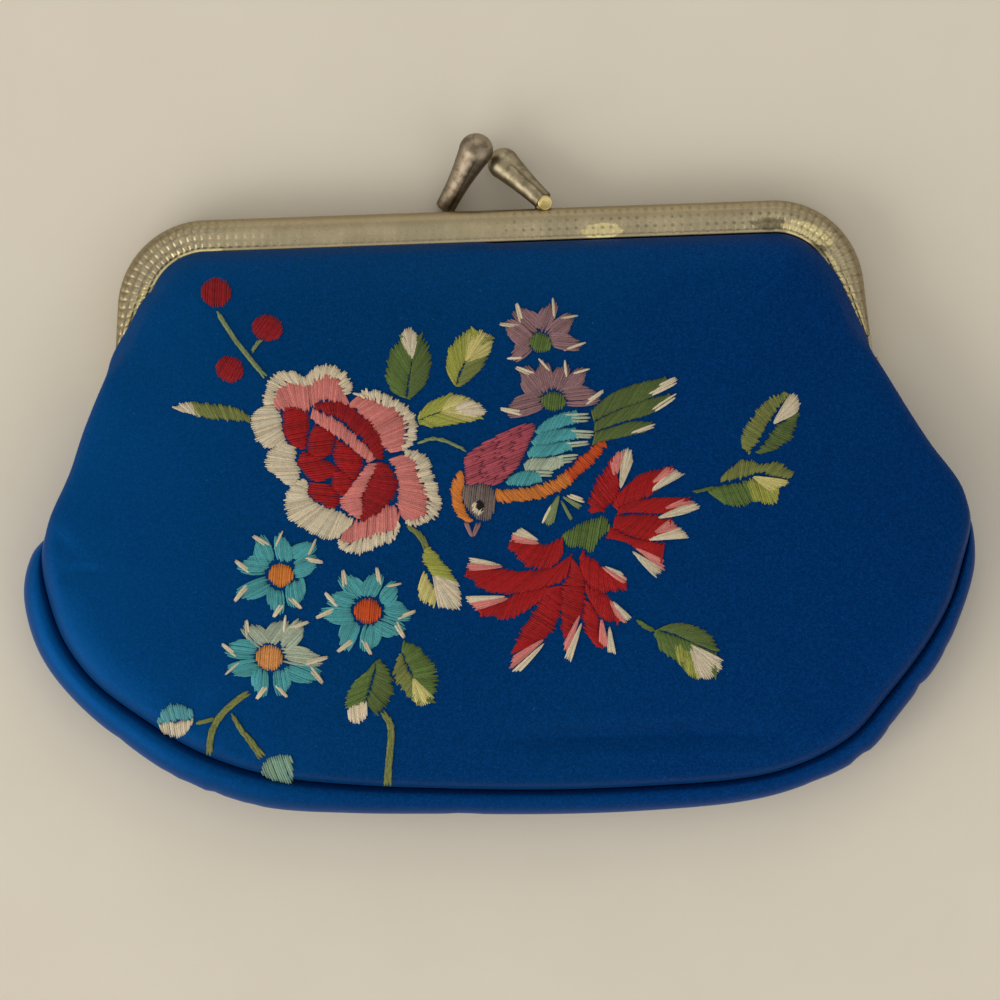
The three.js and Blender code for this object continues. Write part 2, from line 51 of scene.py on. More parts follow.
# Frame halves: two strips of nickel-plated brass sheet, each pressed into a channel that grips the
# satin's edge, stamped with a grid of small raised squares and bent round a bar and two arms.
# The plating is worn to the brass in places. Each arm ends in an eye for the hinge's rivet.
SPAN = 100.0
CORNER_RADIUS = 11.75
SPLAY = math.radians(5)
WALL_DEPTH = 4.3
ARM_END_DEPTH = 0.9
TAPER_LENGTH = 9.0
SHEET = 0.6
HALF_DEPTH = 3.2
EAR_LENGTH = 4.6
EAR_RADIUS = 2.2
EYE_RADIUS = 1.2
BAR_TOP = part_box("front_frame")[1].y / MM
MIDDLE_X = sum(corner.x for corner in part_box("front_frame")) / 2 / MM
HINGE_Y = sum(corner.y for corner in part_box("left_hinge_rivet")) / 2 / MM
HINGE_Z = sum(corner.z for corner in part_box("left_hinge_rivet")) / 2 / MM
FRONT_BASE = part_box("front_frame")[1].z / MM - HALF_DEPTH
DROP = BAR_TOP - HINGE_Y
ARM_LENGTH = (DROP - CORNER_RADIUS * (1 - math.sin(SPLAY))) / math.cos(SPLAY)
BAR_HALF = SPAN / 2 - ARM_LENGTH * math.sin(SPLAY) - CORNER_RADIUS * math.cos(SPLAY)
ARC_LENGTH = CORNER_RADIUS * (math.pi / 2 - SPLAY)


def frame_path(count):
    """Places along a half's outer edge, from the left arm's end to the right one's.

    Gives x and y, the way inwards, the length from the bar's middle and the length from the arm's end."""
    reach = BAR_HALF + ARC_LENGTH + ARM_LENGTH - EAR_LENGTH
    s = np.linspace(-reach, reach, count)
    a = np.abs(s)
    turn = np.clip((a - BAR_HALF) / CORNER_RADIUS, 0, math.pi / 2 - SPLAY)
    angle = math.pi / 2 - turn
    down = np.clip(a - BAR_HALF - ARC_LENGTH, 0, None)
    x = np.minimum(a, BAR_HALF) + CORNER_RADIUS * np.cos(angle) + down * math.sin(SPLAY)
    y = CORNER_RADIUS * (np.sin(angle) - 1) - down * math.cos(SPLAY)
    side = np.sign(s)
    place = np.stack([MIDDLE_X + side * x, BAR_TOP + y], 1)
    inward = np.stack([-side * np.cos(angle), -np.sin(angle)], 1)
    along = reach - a + EAR_LENGTH
    return place, inward, s, along


def channel_depth(along):
    """How far in the channel reaches: it tapers over the last stretch of each arm."""
    share = np.clip((along - EAR_LENGTH) / TAPER_LENGTH, 0, 1)
    return ARM_END_DEPTH + (WALL_DEPTH - ARM_END_DEPTH) * share


def grid_faces(rows, columns, close_rows=False, close_columns=False):
    """Quads of a grid of points stored row by row."""
    i = np.arange(rows if close_rows else rows - 1)
    j = np.arange(columns if close_columns else columns - 1)
    i, j = (g.ravel() for g in np.meshgrid(i, j, indexing="ij"))
    i2, j2 = (i + 1) % rows, (j + 1) % columns
    return np.stack([i * columns + j, i2 * columns + j, i2 * columns + j2, i * columns + j2], 1).tolist()


def piece(name, points, faces, material, closed=True):
    """A smooth mesh from points in millimetres, riding on the purse. A closed one's faces turn outwards."""
    mesh = bpy.data.meshes.new(name)
    mesh.from_pydata((np.asarray(points, float) * MM).tolist(), [], faces)
    mesh.validate()
    if closed:
        shell = bmesh.new()
        shell.from_mesh(mesh)
        bmesh.ops.recalc_face_normals(shell, faces=shell.faces)
        shell.to_mesh(mesh)
        shell.free()
    mesh.polygons.foreach_set("use_smooth", [True] * len(mesh.polygons))
    mesh.materials.append(material)
    obj = bpy.data.objects.new(name, mesh)
    bpy.context.scene.collection.objects.link(obj)
    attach(obj, "root")
    return obj


class Value:
    """A number, colour or place that varies over a surface. Expressions on numbers add Math nodes."""

    def __init__(self, finish, socket):
        self.finish, self.socket = finish, socket

    def maths(self, operation, *inputs):
        return self.finish.make("ShaderNodeMath", {"operation": operation}, inputs)

    def __add__(self, other):
        return self.maths("ADD", self, other)

    def __sub__(self, other):
        return self.maths("SUBTRACT", self, other)

    def __rsub__(self, other):
        return self.maths("SUBTRACT", other, self)

    def __mul__(self, other):
        return self.maths("MULTIPLY", self, other)

    def __truediv__(self, other):
        return self.maths("DIVIDE", self, other)

    __radd__ = __add__
    __rmul__ = __mul__

    def unsigned(self):
        return self.maths("ABSOLUTE", self)

    def wave(self):
        return self.maths("SINE", self)

    def clamped(self):
        return self.finish.make("ShaderNodeClamp", {}, (self,))

    def step(self, low, high):
        """0 below low, 1 above high, smooth between."""
        smooth = {"interpolation_type": "SMOOTHSTEP"}
        return self.finish.make("ShaderNodeMapRange", smooth, (self, low, high, 0.0, 1.0))


class Finish:
    """A material under construction: one Principled shader and what feeds it."""

    def __init__(self, name, **plain):
        self.material = bpy.data.materials.new(name)
        self.material.use_nodes = True
        self.nodes = self.material.node_tree.nodes
        self.links = self.material.node_tree.links
        self.shader = self.nodes["Principled BSDF"]
        for socket, value in plain.items():
            self.shader.inputs[socket.replace("_", " ")].default_value = value

    def make(self, kind, settings, inputs=(), output=0, **named):
        """Adds a node: its settings first, then its sockets by place or by name."""
        node = self.nodes.new(kind)
        for name, value in settings.items():
            setattr(node, name, value)
        for socket, value in zip([socket for socket in node.inputs if socket.enabled], inputs):
            self.put(socket, value)
        for name, value in named.items():
            self.put(node.inputs[name.replace("_", " ")], value)
        return Value(self, node.outputs[output])

    def put(self, socket, value):
        if isinstance(value, Value):
            self.links.new(value.socket, socket)
        else:
            socket.default_value = value

    def feed(self, **sockets):
        for name, value in sockets.items():
            self.put(self.shader.inputs[name.replace("_", " ")], value)

    def millimetres(self):
        """The place on the surface, in millimetres."""
        place = self.make("ShaderNodeTexCoord", {}, output="Object")
        return self.make("ShaderNodeVectorMath", {"operation": "SCALE"}, (place,), Scale=1 / MM)

    def noise(self, place, scale, detail=2.0, rough=0.5, **settings):
        return self.make("ShaderNodeTexNoise", settings, Vector=place, Scale=scale, Detail=detail,
                         Roughness=rough)

    def axes(self, place):
        return [self.make("ShaderNodeSeparateXYZ", {}, (place,), output=axis) for axis in range(3)]

    def attribute(self, name, output="Fac"):
        return self.make("ShaderNodeAttribute", {"attribute_name": name}, output=output)

    def mix(self, share, first, second):
        """Colour first where share is 0, second where it is 1."""
        return self.make("ShaderNodeMix", {"data_type": "RGBA"}, (share, first, second), output=2)

    def bump(self, height, depth):
        """A normal from a height between 0 and 1, with its real depth in millimetres."""
        return self.make("ShaderNodeBump", {}, Strength=1.0, Distance=depth * MM, Height=height)


def colour(red, green, blue, gain=1.0):
    """Linear colour from 8-bit screen values."""
    screen = np.array([red, green, blue]) / 255
    linear = np.where(screen <= 0.04045, screen / 12.92, ((screen + 0.055) / 1.055) ** 2.4)
    return (*(linear * gain).tolist(), 1.0)


def soft_step(low, high, value):
    share = np.clip((value - low) / (high - low), 0, 1)
    return share * share * (3 - 2 * share)


def walked(path):
    """The length of a path from its first point to each of its points."""
    return np.concatenate([[0], np.cumsum(np.linalg.norm(np.diff(path, axis=0), axis=1))])


def stamped_section():
    """A channel's section as inset and height, and where each point lies across the stamped face."""
    top = HALF_DEPTH
    face = top - 0.05
    roll = 1.6
    drop_of_roll = 1.3
    low_arc = [(1 + math.cos(a), 1 + math.sin(a)) for a in np.linspace(1.5 * math.pi, math.pi, 6)]
    points = [(4.28, 0.4), (4.15, 0.1), (3.8, 0.0), (2.4, 0.0), *low_arc, (0.0, 1.4)]
    first_stamped = len(points)
    for a in np.linspace(math.pi, math.pi / 2, 12):
        points.append((roll + roll * math.cos(a), face - drop_of_roll + drop_of_roll * math.sin(a)))
    for inset in np.linspace(roll + 0.13, 3.85, 17):
        points.append((inset, face - 0.2 * ((inset - roll) / 2.3) ** 2))
    last_stamped = len(points)
    points += [(3.95, top - 0.19), (4.05, top - 0.12), (4.17, top - 0.13), (4.27, top - 0.24)]
    points += [(4.3, top - 0.4), (4.2, top - 0.56), (3.9, top - SHEET), (2.2, top - SHEET)]
    points += [(SHEET, top - SHEET), (SHEET, 1.6), (SHEET, SHEET), (2.2, SHEET), (3.9, SHEET), (4.2, 0.56)]
    section = np.array(points)
    across = walked(section)
    across = across - across[first_stamped]
    stamped = np.zeros(len(points), bool)
    stamped[first_stamped:last_stamped] = True
    return section, across, stamped


def sections_of(place, inward, insets, heights):
    """A row of points for each place on an outline, each so far in from it and so high."""
    return np.concatenate([place[:, None] + inward[:, None] * insets[..., None], heights[..., None]], 2)


def squares(place, pitch):
    """1 on the raised squares and 0 in the grooves between them."""
    return soft_step(0.3, 0.75, np.abs(np.sin(math.pi * place / pitch)))


def stamped_half(base, upright, count):
    """Points, faces, the tarnish in its hollows where the grid isn't worn flat, and the painted shade on its
    outer shoulder, of one frame half; upright has the stamped face on top.
    """
    stamp_depth = 0.14
    pitch_along = 1.15
    pitch_across = 1.12
    place, inward, s, along = frame_path(count)
    section, across, stamped = stamped_section()
    depth = channel_depth(along)
    normal = np.gradient(section, axis=0)
    normal = np.stack([normal[:, 1], -normal[:, 0]], 1)
    normal = -normal / np.linalg.norm(normal, axis=1)[:, None]
    left_to_right = [-48, -40, -32, -24, -2, 8, 30, 40, 48]
    worn_flat = np.interp(s, left_to_right, [1, 1, 0.55, 0.2, 0.2, 0.4, 0.45, 0.8, 1])
    row_strength = np.interp(across, [0.3, 1.2], [0.0, 1.0])
    grid = squares(s, pitch_along)[:, None] * squares(across - 0.1, pitch_across)
    raised = grid * worn_flat[:, None] * (row_strength * stamped)[None, :] * stamp_depth
    inset = section[None, :, 0] + raised * normal[None, :, 0]
    height = section[None, :, 1] + raised * normal[None, :, 1]
    inset = inset * (depth / WALL_DEPTH)[:, None]
    level = base + height if upright else np.maximum(0, base + HALF_DEPTH - height)
    hollow_along = soft_step(0.72, 0.95, np.abs(np.cos(math.pi * s / pitch_along)))
    hollow_across = soft_step(0.72, 0.95, np.abs(np.cos(math.pi * (across - 0.1) / pitch_across)))
    pitted = np.interp(s, [-2, 4, 44, 50], [0.0, 0.8, 0.8, 0.4])
    deep = np.clip(worn_flat * 2 - 1, 0, 1)
    dirt = deep[:, None] * (1 - grid) * 0.6
    dirt = (dirt + pitted[:, None] * hollow_along[:, None] * hollow_across) * stamped
    # rim: painted shade, full on the outer wall and rounded outer shoulder, fading across the stamped face,
    # and 0.6 on the lip and underside.
    rim = np.where(stamped, 1 - soft_step(1.1, 2.9, across), np.where(across > 0, 0.6, 1.0))
    rim = np.tile(rim, (len(s), 1))
    points = sections_of(place, inward, inset, level)
    rows, columns = points.shape[:2]
    faces = grid_faces(rows, columns, close_columns=True)
    faces += [list(range(columns)), list(range((rows - 1) * columns, rows * columns))]
    return points.reshape(-1, 3), faces, np.clip(dirt, 0, 1).ravel(), rim.ravel()


def ear(side, depth_in, reach, low, high):
    """Eye round the hinge and its neck up the arm, as one plate of sheet metal."""
    count = 40
    corners = [(reach, high), (reach, low)]
    angles = np.linspace(0, 2 * math.pi, count, endpoint=False)
    ring = np.stack([EAR_RADIUS * np.cos(angles), EAR_RADIUS * np.sin(angles)], 1)
    for i, angle in enumerate(angles):
        ray = np.array([math.cos(angle), math.sin(angle)])
        reachable = EAR_RADIUS
        if ray[0] > 0:
            cut = reach * ray[1] / ray[0]
            if low - HINGE_Z <= cut <= high - HINGE_Z:
                reachable = reach / ray[0]
            else:
                edge = (high if ray[1] > 0 else low) - HINGE_Z
                tangent = math.copysign(EAR_RADIUS, ray[1])
                blend = (edge - tangent) / reach
                room = ray[1] - blend * ray[0]
                if abs(room) > 1e-6 and tangent / room > EAR_RADIUS:
                    reachable = tangent / room
        ring[i] = ray * max(EAR_RADIUS, reachable)
    hole = np.stack([EYE_RADIUS * np.cos(angles), EYE_RADIUS * np.sin(angles)], 1)
    up_arm = np.array([-side * math.sin(SPLAY), math.cos(SPLAY), 0])
    inward = np.array([-side * math.cos(SPLAY), -math.sin(SPLAY), 0])
    foot = np.array([MIDDLE_X + side * SPAN / 2, HINGE_Y, HINGE_Z])
    loops = []
    for loop, inset in ((ring, 0.0), (ring, SHEET), (hole, SHEET), (hole, 0.0)):
        across = foot + inward * (depth_in + inset)
        loops.append(across + loop[:, :1] * up_arm + loop[:, 1:] * np.array([0, 0, 1]))
    return np.concatenate(loops), grid_faces(4, count, close_rows=True, close_columns=True)


def joined(parts):
    """The points and faces of several parts as those of one."""
    points, faces, start = [], [], 0
    for part_points, part_faces in parts:
        points.append(part_points)
        faces += [[corner + start for corner in face] for face in part_faces]
        start += len(part_points)
    return np.concatenate(points), faces


BRASS_PATCHES = [
    # where the plating is gone: middle, half sizes and slant of each patch
    (42.0, 30.2, 3.4, 1.2, -20), (15.0, 31.4, 2.6, 0.95, 2), (-38.5, 30.4, 3.4, 0.4, 6),
    (-43.2, 27.6, 3.0, 0.4, 42), (-46.3, 23.6, 2.6, 0.6, 65), (45.9, 24.4, 3.6, 0.6, -60),
    (48.3, 18.6, 2.4, 0.5, -72), (-48.2, 19.6, 2.0, 0.4, 70),
]
TARNISH_PATCHES = [
    # where it is dark
    (37.0, 31.6, 2.6, 1.0, 0), (43.4, 28.2, 1.7, 0.6, -45), (-47.6, 20.6, 2.5, 0.5, 70),
]


def patches(points, table):
    """How far each point lies inside the table's patches: 1 in the middle, 0 from the edge outwards."""
    inside = np.zeros(len(points))
    for x, y, half_long, half_wide, slant in table:
        turn = math.radians(slant)
        dx, dy = points[:, 0] - x, points[:, 1] - y
        u = (dx * math.cos(turn) + dy * math.sin(turn)) / half_long
        v = (-dx * math.sin(turn) + dy * math.cos(turn)) / half_wide
        inside = np.maximum(inside, np.clip(1.4 - np.hypot(u, v), 0, 1))
    return inside


def vertex_values(obj, name, values):
    obj.data.attributes.new(name, "FLOAT", "POINT").data.foreach_set("value", values.astype(np.float32))


def nickel_finish():
    """Nickel plate, warm with age, dark in the grid's hollows, worn to the brass in the patches, and with
    painted shade over its outer shoulder.
    """
    finish = Finish("stamped_nickel", Metallic=1.0)
    place = finish.millimetres()
    broken = finish.noise(place, 1.6, 4.0, 0.62)
    clouds = finish.noise(place, 0.22, 3.0)
    dirt = finish.attribute("dirt")
    worn = (finish.attribute("brass") + (broken - 0.5) * 0.9).step(0.26, 0.42) * (1 - dirt * 0.6)
    dark = (finish.attribute("tarnish") + (broken - 0.5) * 1.1).step(0.35, 0.75)
    plating = finish.mix(clouds.step(0.35, 0.65), colour(188, 176, 146), colour(204, 191, 158))
    worn_through = finish.mix(broken.step(0.45, 0.8), colour(244, 230, 176), colour(226, 204, 142))
    metal = finish.mix(worn, plating, worn_through)
    metal = finish.mix(dark * (1 - worn) * (0.4 + broken * 0.6), metal, colour(112, 106, 80))
    # Painted shade from the rim attribute: a darker, browner outer shoulder and walls.
    metal = finish.mix(finish.attribute("rim") * (1 - worn) * 0.75, metal, colour(146, 130, 100))
    metal = finish.mix(dirt * (0.1 + broken.step(0.38, 0.62) * 0.55), metal, colour(92, 84, 58))
    grain = finish.noise(place, 14.0, 3.0, 0.7)
    specks = finish.noise(place, 5.0, 2.0).step(0.6, 0.72)
    metal = finish.mix(specks * 0.4, metal, colour(92, 82, 60))
    finish.feed(
        Base_Color=metal,
        Roughness=0.4 + dark * 0.12 + (clouds - 0.5) * 0.16,
        Normal=finish.bump(grain + broken * 0.8, 0.014),
    )
    return finish.material


stamped_nickel = nickel_finish()
PLACES_ALONG = 760
EAR_PLAY = 0.32
halves = [
    # name, node, base, stamped face up, the ear's inset, its reach up the arm, its lower and upper level
    ("stamped_frame_front", "front_frame", FRONT_BASE, True,
     0.0, EAR_LENGTH + SHEET, FRONT_BASE, FRONT_BASE + HALF_DEPTH),
    ("stamped_frame_rear", "rear_frame", 0.0, False,
     SHEET + EAR_PLAY, EAR_LENGTH + 2 * SHEET, SHEET, HALF_DEPTH - SHEET),
]
for name, node, base, upright, ear_depth, reach, low, high in halves:
    points, faces, dirt, rim = stamped_half(base, upright, PLACES_ALONG)
    parts = [(points, faces)] + [ear(side, ear_depth, reach, low, high) for side in (-1, 1)]
    points, faces = joined(parts)
    half = piece(name, points, faces, stamped_nickel)
    vertex_values(half, "brass", patches(points, BRASS_PATCHES))
    vertex_values(half, "tarnish", patches(points, TARNISH_PATCHES))
    vertex_values(half, "dirt", np.pad(dirt, (0, len(points) - len(dirt))))
    # rim carries the painted shade on the outer shoulder.
    vertex_values(half, "rim", np.pad(rim, (0, len(points) - len(rim))))
    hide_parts(node)

# Hinge rivets: a short nickel-plated pin through both eyes of each hinge, its two heads rounded over.
RIVET_RADIUS = 0.9
HEAD_RADIUS = 1.8
HEAD_THICKNESS = 0.5


def turned(name, profile, foot, axis, material, segments=40):
    """A body of revolution: its profile is radius and way along the axis, closed at both ends."""
    axis = Vector(axis).normalized()
    side = axis.orthogonal().normalized()
    other = axis.cross(side)
    angles = np.linspace(0, 2 * math.pi, segments, endpoint=False)
    ring = np.cos(angles)[:, None] * np.array(side) + np.sin(angles)[:, None] * np.array(other)
    rows = [np.array(foot) + radius * ring + way * np.array(axis) for radius, way in profile[1:-1]]
    ends = [np.array(foot) + profile[end][1] * np.array(axis) for end in (0, -1)]
    faces = grid_faces(len(rows), segments, close_columns=True)
    first, last = len(rows) * segments, len(rows) * segments + 1
    for j in range(segments):
        k = (j + 1) % segments
        faces.append([first, k, j])
        faces.append([last, first - segments + j, first - segments + k])
    return piece(name, np.concatenate([*rows, np.array(ends)]), faces, material)


def rounded_head(foot_way, way):
    """Profile of a head that starts at foot_way with a square edge and rounds over to way."""
    square, round_part = 0.4 * (way - foot_way), 0.6 * (way - foot_way)
    profile = [(HEAD_RADIUS, foot_way), (HEAD_RADIUS, foot_way + square)]
    for angle in np.linspace(0, math.pi / 2, 7)[1:]:
        profile.append((HEAD_RADIUS * math.cos(angle), foot_way + square + round_part * math.sin(angle)))
    return profile


for side_name, side in (("left", -1), ("right", 1)):
    low, high = (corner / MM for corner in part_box(f"{side_name}_hinge_rivet"))
    length = high.x - low.x
    near, far = HEAD_THICKNESS, length - HEAD_THICKNESS
    shaft = [(RIVET_RADIUS, near), (RIVET_RADIUS, far)]
    profile = [*rounded_head(near, 0.0)[::-1], *shaft, *rounded_head(far, length)]
    rivet = turned(f"{side_name}_rivet", profile, (low.x, HINGE_Y, HINGE_Z), (1, 0, 0), stamped_nickel)
    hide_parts(f"{side_name}_hinge_rivet")

# Clasp fingers: two smooth nickel-plated teardrops, one riveted to each half's bar. Their round heads
# cross and snap past each other. The right one's plating is dull, and its foot shows a brass rivet.
FOOT_RADIUS = 1.35


def finger_finish(name, tint, shade, rough, foot=None, head=None):
    """Plated metal with stains; between foot and head, painted shade darkens it down both sides and one dark
    streak is a painted reflection.
    """
    finish = Finish(name, Metallic=1.0)
    place = finish.millimetres()
    x, y, z = finish.axes(place)
    stains = finish.noise(place, 0.9, 3.0, 0.6)
    drawn_out = finish.make("ShaderNodeCombineXYZ", {}, (x * 6.0, y * 1.2, z * 6.0))
    scratches = finish.noise(drawn_out, 1.4, 3.0, 0.6)
    metal = finish.mix(stains.step(0.42, 0.66), tint, shade)
    if foot:
        axis = (head - foot).xy
        axis, length = axis.normalized(), axis.length
        aside = (x - foot.x) * axis.y - (y - foot.y) * axis.x
        along = ((x - foot.x) * axis.x + (y - foot.y) * axis.y) * (1 / length)
        # Painted shade down both sides of the finger, darker towards its edges.
        outwards = aside.unsigned() / (FOOT_RADIUS + along.clamped() * 0.85)
        metal = finish.mix(outwards.step(0.62, 1.0) * 0.7, metal, colour(84, 72, 54))
        # A painted reflection: one dark streak along the finger, beside its middle.
        wandering = aside + (stains - 0.5) * 0.5 - 0.62
        painted_reflection_streak = (1 - wandering.unsigned() * 3.4).clamped() * (0.96 - along).step(0.0, 0.2)
        metal = finish.mix(painted_reflection_streak * 0.75, metal, colour(70, 60, 46))
    finish.feed(
        Base_Color=metal,
        Roughness=rough + (scratches - 0.5) * 0.2,
        Normal=finish.bump(scratches, 0.004),
    )
    return finish.material


def teardrop(name, foot, head, head_radius, foot_end, waisted, material):
    """A finger from its blunt foot, past a waist, to its round head."""
    rim = FOOT_RADIUS - 0.06
    axis = head - foot
    length = axis.length
    waist = math.asin((head_radius - FOOT_RADIUS) / length)
    profile = [(0.0, foot_end), (FOOT_RADIUS - 0.3, foot_end), (rim, foot_end + 0.1)]
    start = (head_radius * math.cos(waist), length - head_radius * math.sin(waist))
    for share in np.linspace(0.05, 0.92, 12):
        way = foot_end + (start[1] - foot_end) * share
        hollow = waisted * math.sin(math.pi * share) ** 1.5
        profile.append((rim + (start[0] - FOOT_RADIUS) * share**1.2 - hollow, way))
    for angle in np.linspace(-waist, math.pi / 2, 16):
        profile.append((head_radius * math.cos(angle), length + head_radius * math.sin(angle)))
    profile[-1] = (0.0, length + head_radius)
    return turned(name, profile, foot, axis, material, 56)


def tenon(name, foot, material):
    """The finger's pin through the bar's wall."""
    radius, length = 0.8, FOOT_RADIUS + 1.4
    profile = [(0.0, 0.0), (radius, 0.0), (radius, length), (0.0, length)]
    return turned(name, profile, (foot.x, BAR_TOP - SHEET - 0.2, foot.z), (0, 1, 0), material, 24)


rear_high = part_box("rear_clasp_finger")[1] / MM
front_low, front_high = (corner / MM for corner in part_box("front_clasp_finger"))
REAR_HEAD = 2.25
FRONT_HEAD = 2.1
rear_foot = Vector((MIDDLE_X - 5.2, BAR_TOP + FOOT_RADIUS, HALF_DEPTH / 2))
rear_head = rear_high - Vector((REAR_HEAD,) * 3)
front_foot = Vector((MIDDLE_X + 7.0, BAR_TOP + FOOT_RADIUS, FRONT_BASE + HALF_DEPTH / 2))
front_head = Vector((front_low.x + FRONT_HEAD, front_high.y - FRONT_HEAD, front_low.z + FRONT_HEAD))
bright_nickel = finger_finish(
    "bright_nickel", colour(164, 150, 131), colour(132, 119, 100), 0.44, rear_foot, rear_head)
dull_nickel = finger_finish(
    "dull_nickel", colour(172, 160, 134), colour(138, 128, 104), 0.42, front_foot, front_head)
fingers = [
    # name, node, foot, head, the head's radius, where the foot ends, how waisted it is, material
    ("bright_finger", "rear_clasp_finger", rear_foot, rear_head, REAR_HEAD, -0.9, 0.15, bright_nickel),
    ("dull_finger", "front_clasp_finger", front_foot, front_head, FRONT_HEAD, -0.6, 0.05, dull_nickel),
]
for name, node, foot, head, radius, foot_end, waisted, material in fingers:
    finger = teardrop(name, foot, head, radius, foot_end, waisted, material)
    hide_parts(node)
    tenon(f"{name}_pin", foot, material)

brass = finger_finish("bare_brass", colour(220, 204, 146), colour(180, 160, 100), 0.34)
CUPPED_HEAD = [(0.0, 0.0), (1.0, 0.0), (1.0, 1.05), (0.93, 1.2), (0.8, 1.24), (0.62, 1.17), (0.3, 1.15),
               (0.0, 1.15)]
rivet_foot = front_foot + Vector((0.28, -0.42, 0.25))
brass_rivet = turned("brass_finger_rivet", CUPPED_HEAD, rivet_foot, (0.3, -0.28, 1.0), brass)

# Pouch outline, which all three satin pieces share: from the right hinge round the bottom to the left.
# The front seam hides behind the side folds by tuck, at height. The strip swells out by band where
# turned is 1 and shows, and is pleated in by pleat below the hinges.
OUTLINE = np.array([
    # x, y, tuck, height, band, pleat, turned
    (49.0, 15.4, 2.4, 6.4, 0.0, 3.0, 0.0),
    (51.35, 11.5, 4.2, 6.4, 0.0, 4.8, 0.0),
    (54.05, 6.75, 4.2, 6.4, 0.0, 6.0, 0.0),
    (57.05, 1.8, 2.4, 6.5, 0.0, 6.0, 0.0),
    (60.05, -2.3, 1.7, 7.1, 0.0, 3.9, 0.1),
    (61.4, -5.1, 1.1, 7.6, 0.0, 0.6, 0.4),
    (61.9, -8.6, 0.3, 8.2, 0.5, 0.0, 0.75),
    (60.6, -13.6, 0.0, 8.7, 1.8, 0.0, 1.0),
    (58.6, -19.1, 0.0, 9.1, 2.1, 0.0, 1.0),
    (55.0, -24.9, 0.0, 9.3, 2.8, 0.0, 1.0),
    (50.0, -30.9, 0.0, 9.3, 2.9, 0.0, 1.0),
    (45.1, -36.0, 0.0, 9.3, 3.2, 0.0, 1.0),
    (38.1, -39.4, 0.0, 9.3, 3.0, 0.0, 1.0),
    (30.1, -41.0, 0.0, 9.3, 3.2, 0.0, 1.0),
    (17.5, -41.5, 0.0, 9.3, 3.4, 0.0, 1.0),
    (5.1, -41.5, 0.0, 9.3, 3.4, 0.0, 1.0),
    (-8.0, -40.9, 0.0, 9.3, 3.5, 0.0, 1.0),
    (-20.0, -40.0, 0.0, 9.3, 3.9, 0.0, 1.0),
    (-31.0, -38.4, 0.0, 9.3, 4.4, 0.0, 1.0),
    (-40.0, -35.1, 0.0, 9.3, 4.5, 0.0, 1.0),
    (-47.5, -30.3, 0.0, 9.3, 4.2, 0.0, 1.0),
    (-53.5, -25.4, 0.0, 9.3, 3.8, 0.0, 1.0),
    (-57.4, -19.8, 0.0, 9.1, 3.8, 0.0, 1.0),
    (-59.4, -13.6, 0.0, 8.7, 3.3, 0.0, 1.0),
    (-60.0, -8.9, 0.2, 8.2, 1.8, 0.0, 0.85),
    (-59.4, -5.7, 0.8, 7.6, 0.3, 0.0, 0.5),
    (-58.3, -2.9, 1.6, 7.2, 0.0, 3.0, 0.1),
    (-55.9, 1.9, 2.4, 6.5, 0.0, 6.0, 0.0),
    (-53.95, 7.2, 3.9, 6.4, 0.0, 6.0, 0.0),
    (-51.9, 11.9, 5.0, 6.4, 0.0, 4.8, 0.0),
    (-50.2, 15.4, 3.4, 6.4, 0.0, 3.6, 0.0),
])
STATIONS_PER_ROW = 8
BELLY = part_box("front_panel")[1].z / MM
POUCH_MIDDLE = np.array([MIDDLE_X, -3.5])


def smoothed(rows, per_row):
    """A Catmull-Rom curve through rows of numbers, with per_row steps from each to the next."""
    rows = np.asarray(rows, float)
    padded = np.concatenate([[2 * rows[0] - rows[1]], rows, [2 * rows[-1] - rows[-2]]])
    t = np.arange((len(rows) - 1) * per_row + 1) / per_row
    i = np.minimum(t.astype(int), len(rows) - 2)
    u = (t - i)[:, None]
    a, b, c, d = (padded[i + k] for k in range(4))
    return 0.5 * (2 * b + (c - a) * u + (2 * a - 5 * b + 4 * c - d) * u**2 + (3 * b - a - 3 * c + d) * u**3)


def pouch_stations():
    """The outline's places, the way inwards at each, and its other columns."""
    stations = smoothed(OUTLINE, STATIONS_PER_ROW)
    place = stations[:, :2]
    tangent = np.gradient(place, axis=0)
    tangent /= np.linalg.norm(tangent, axis=1)[:, None]
    inward = np.stack([tangent[:, 1], -tangent[:, 0]], 1)
    tuck, height, band, pleat, turned_out = np.clip(stations[:, 2:], 0, None).T
    return place, inward, tuck, height, band, pleat, np.clip(turned_out, 0, 1)


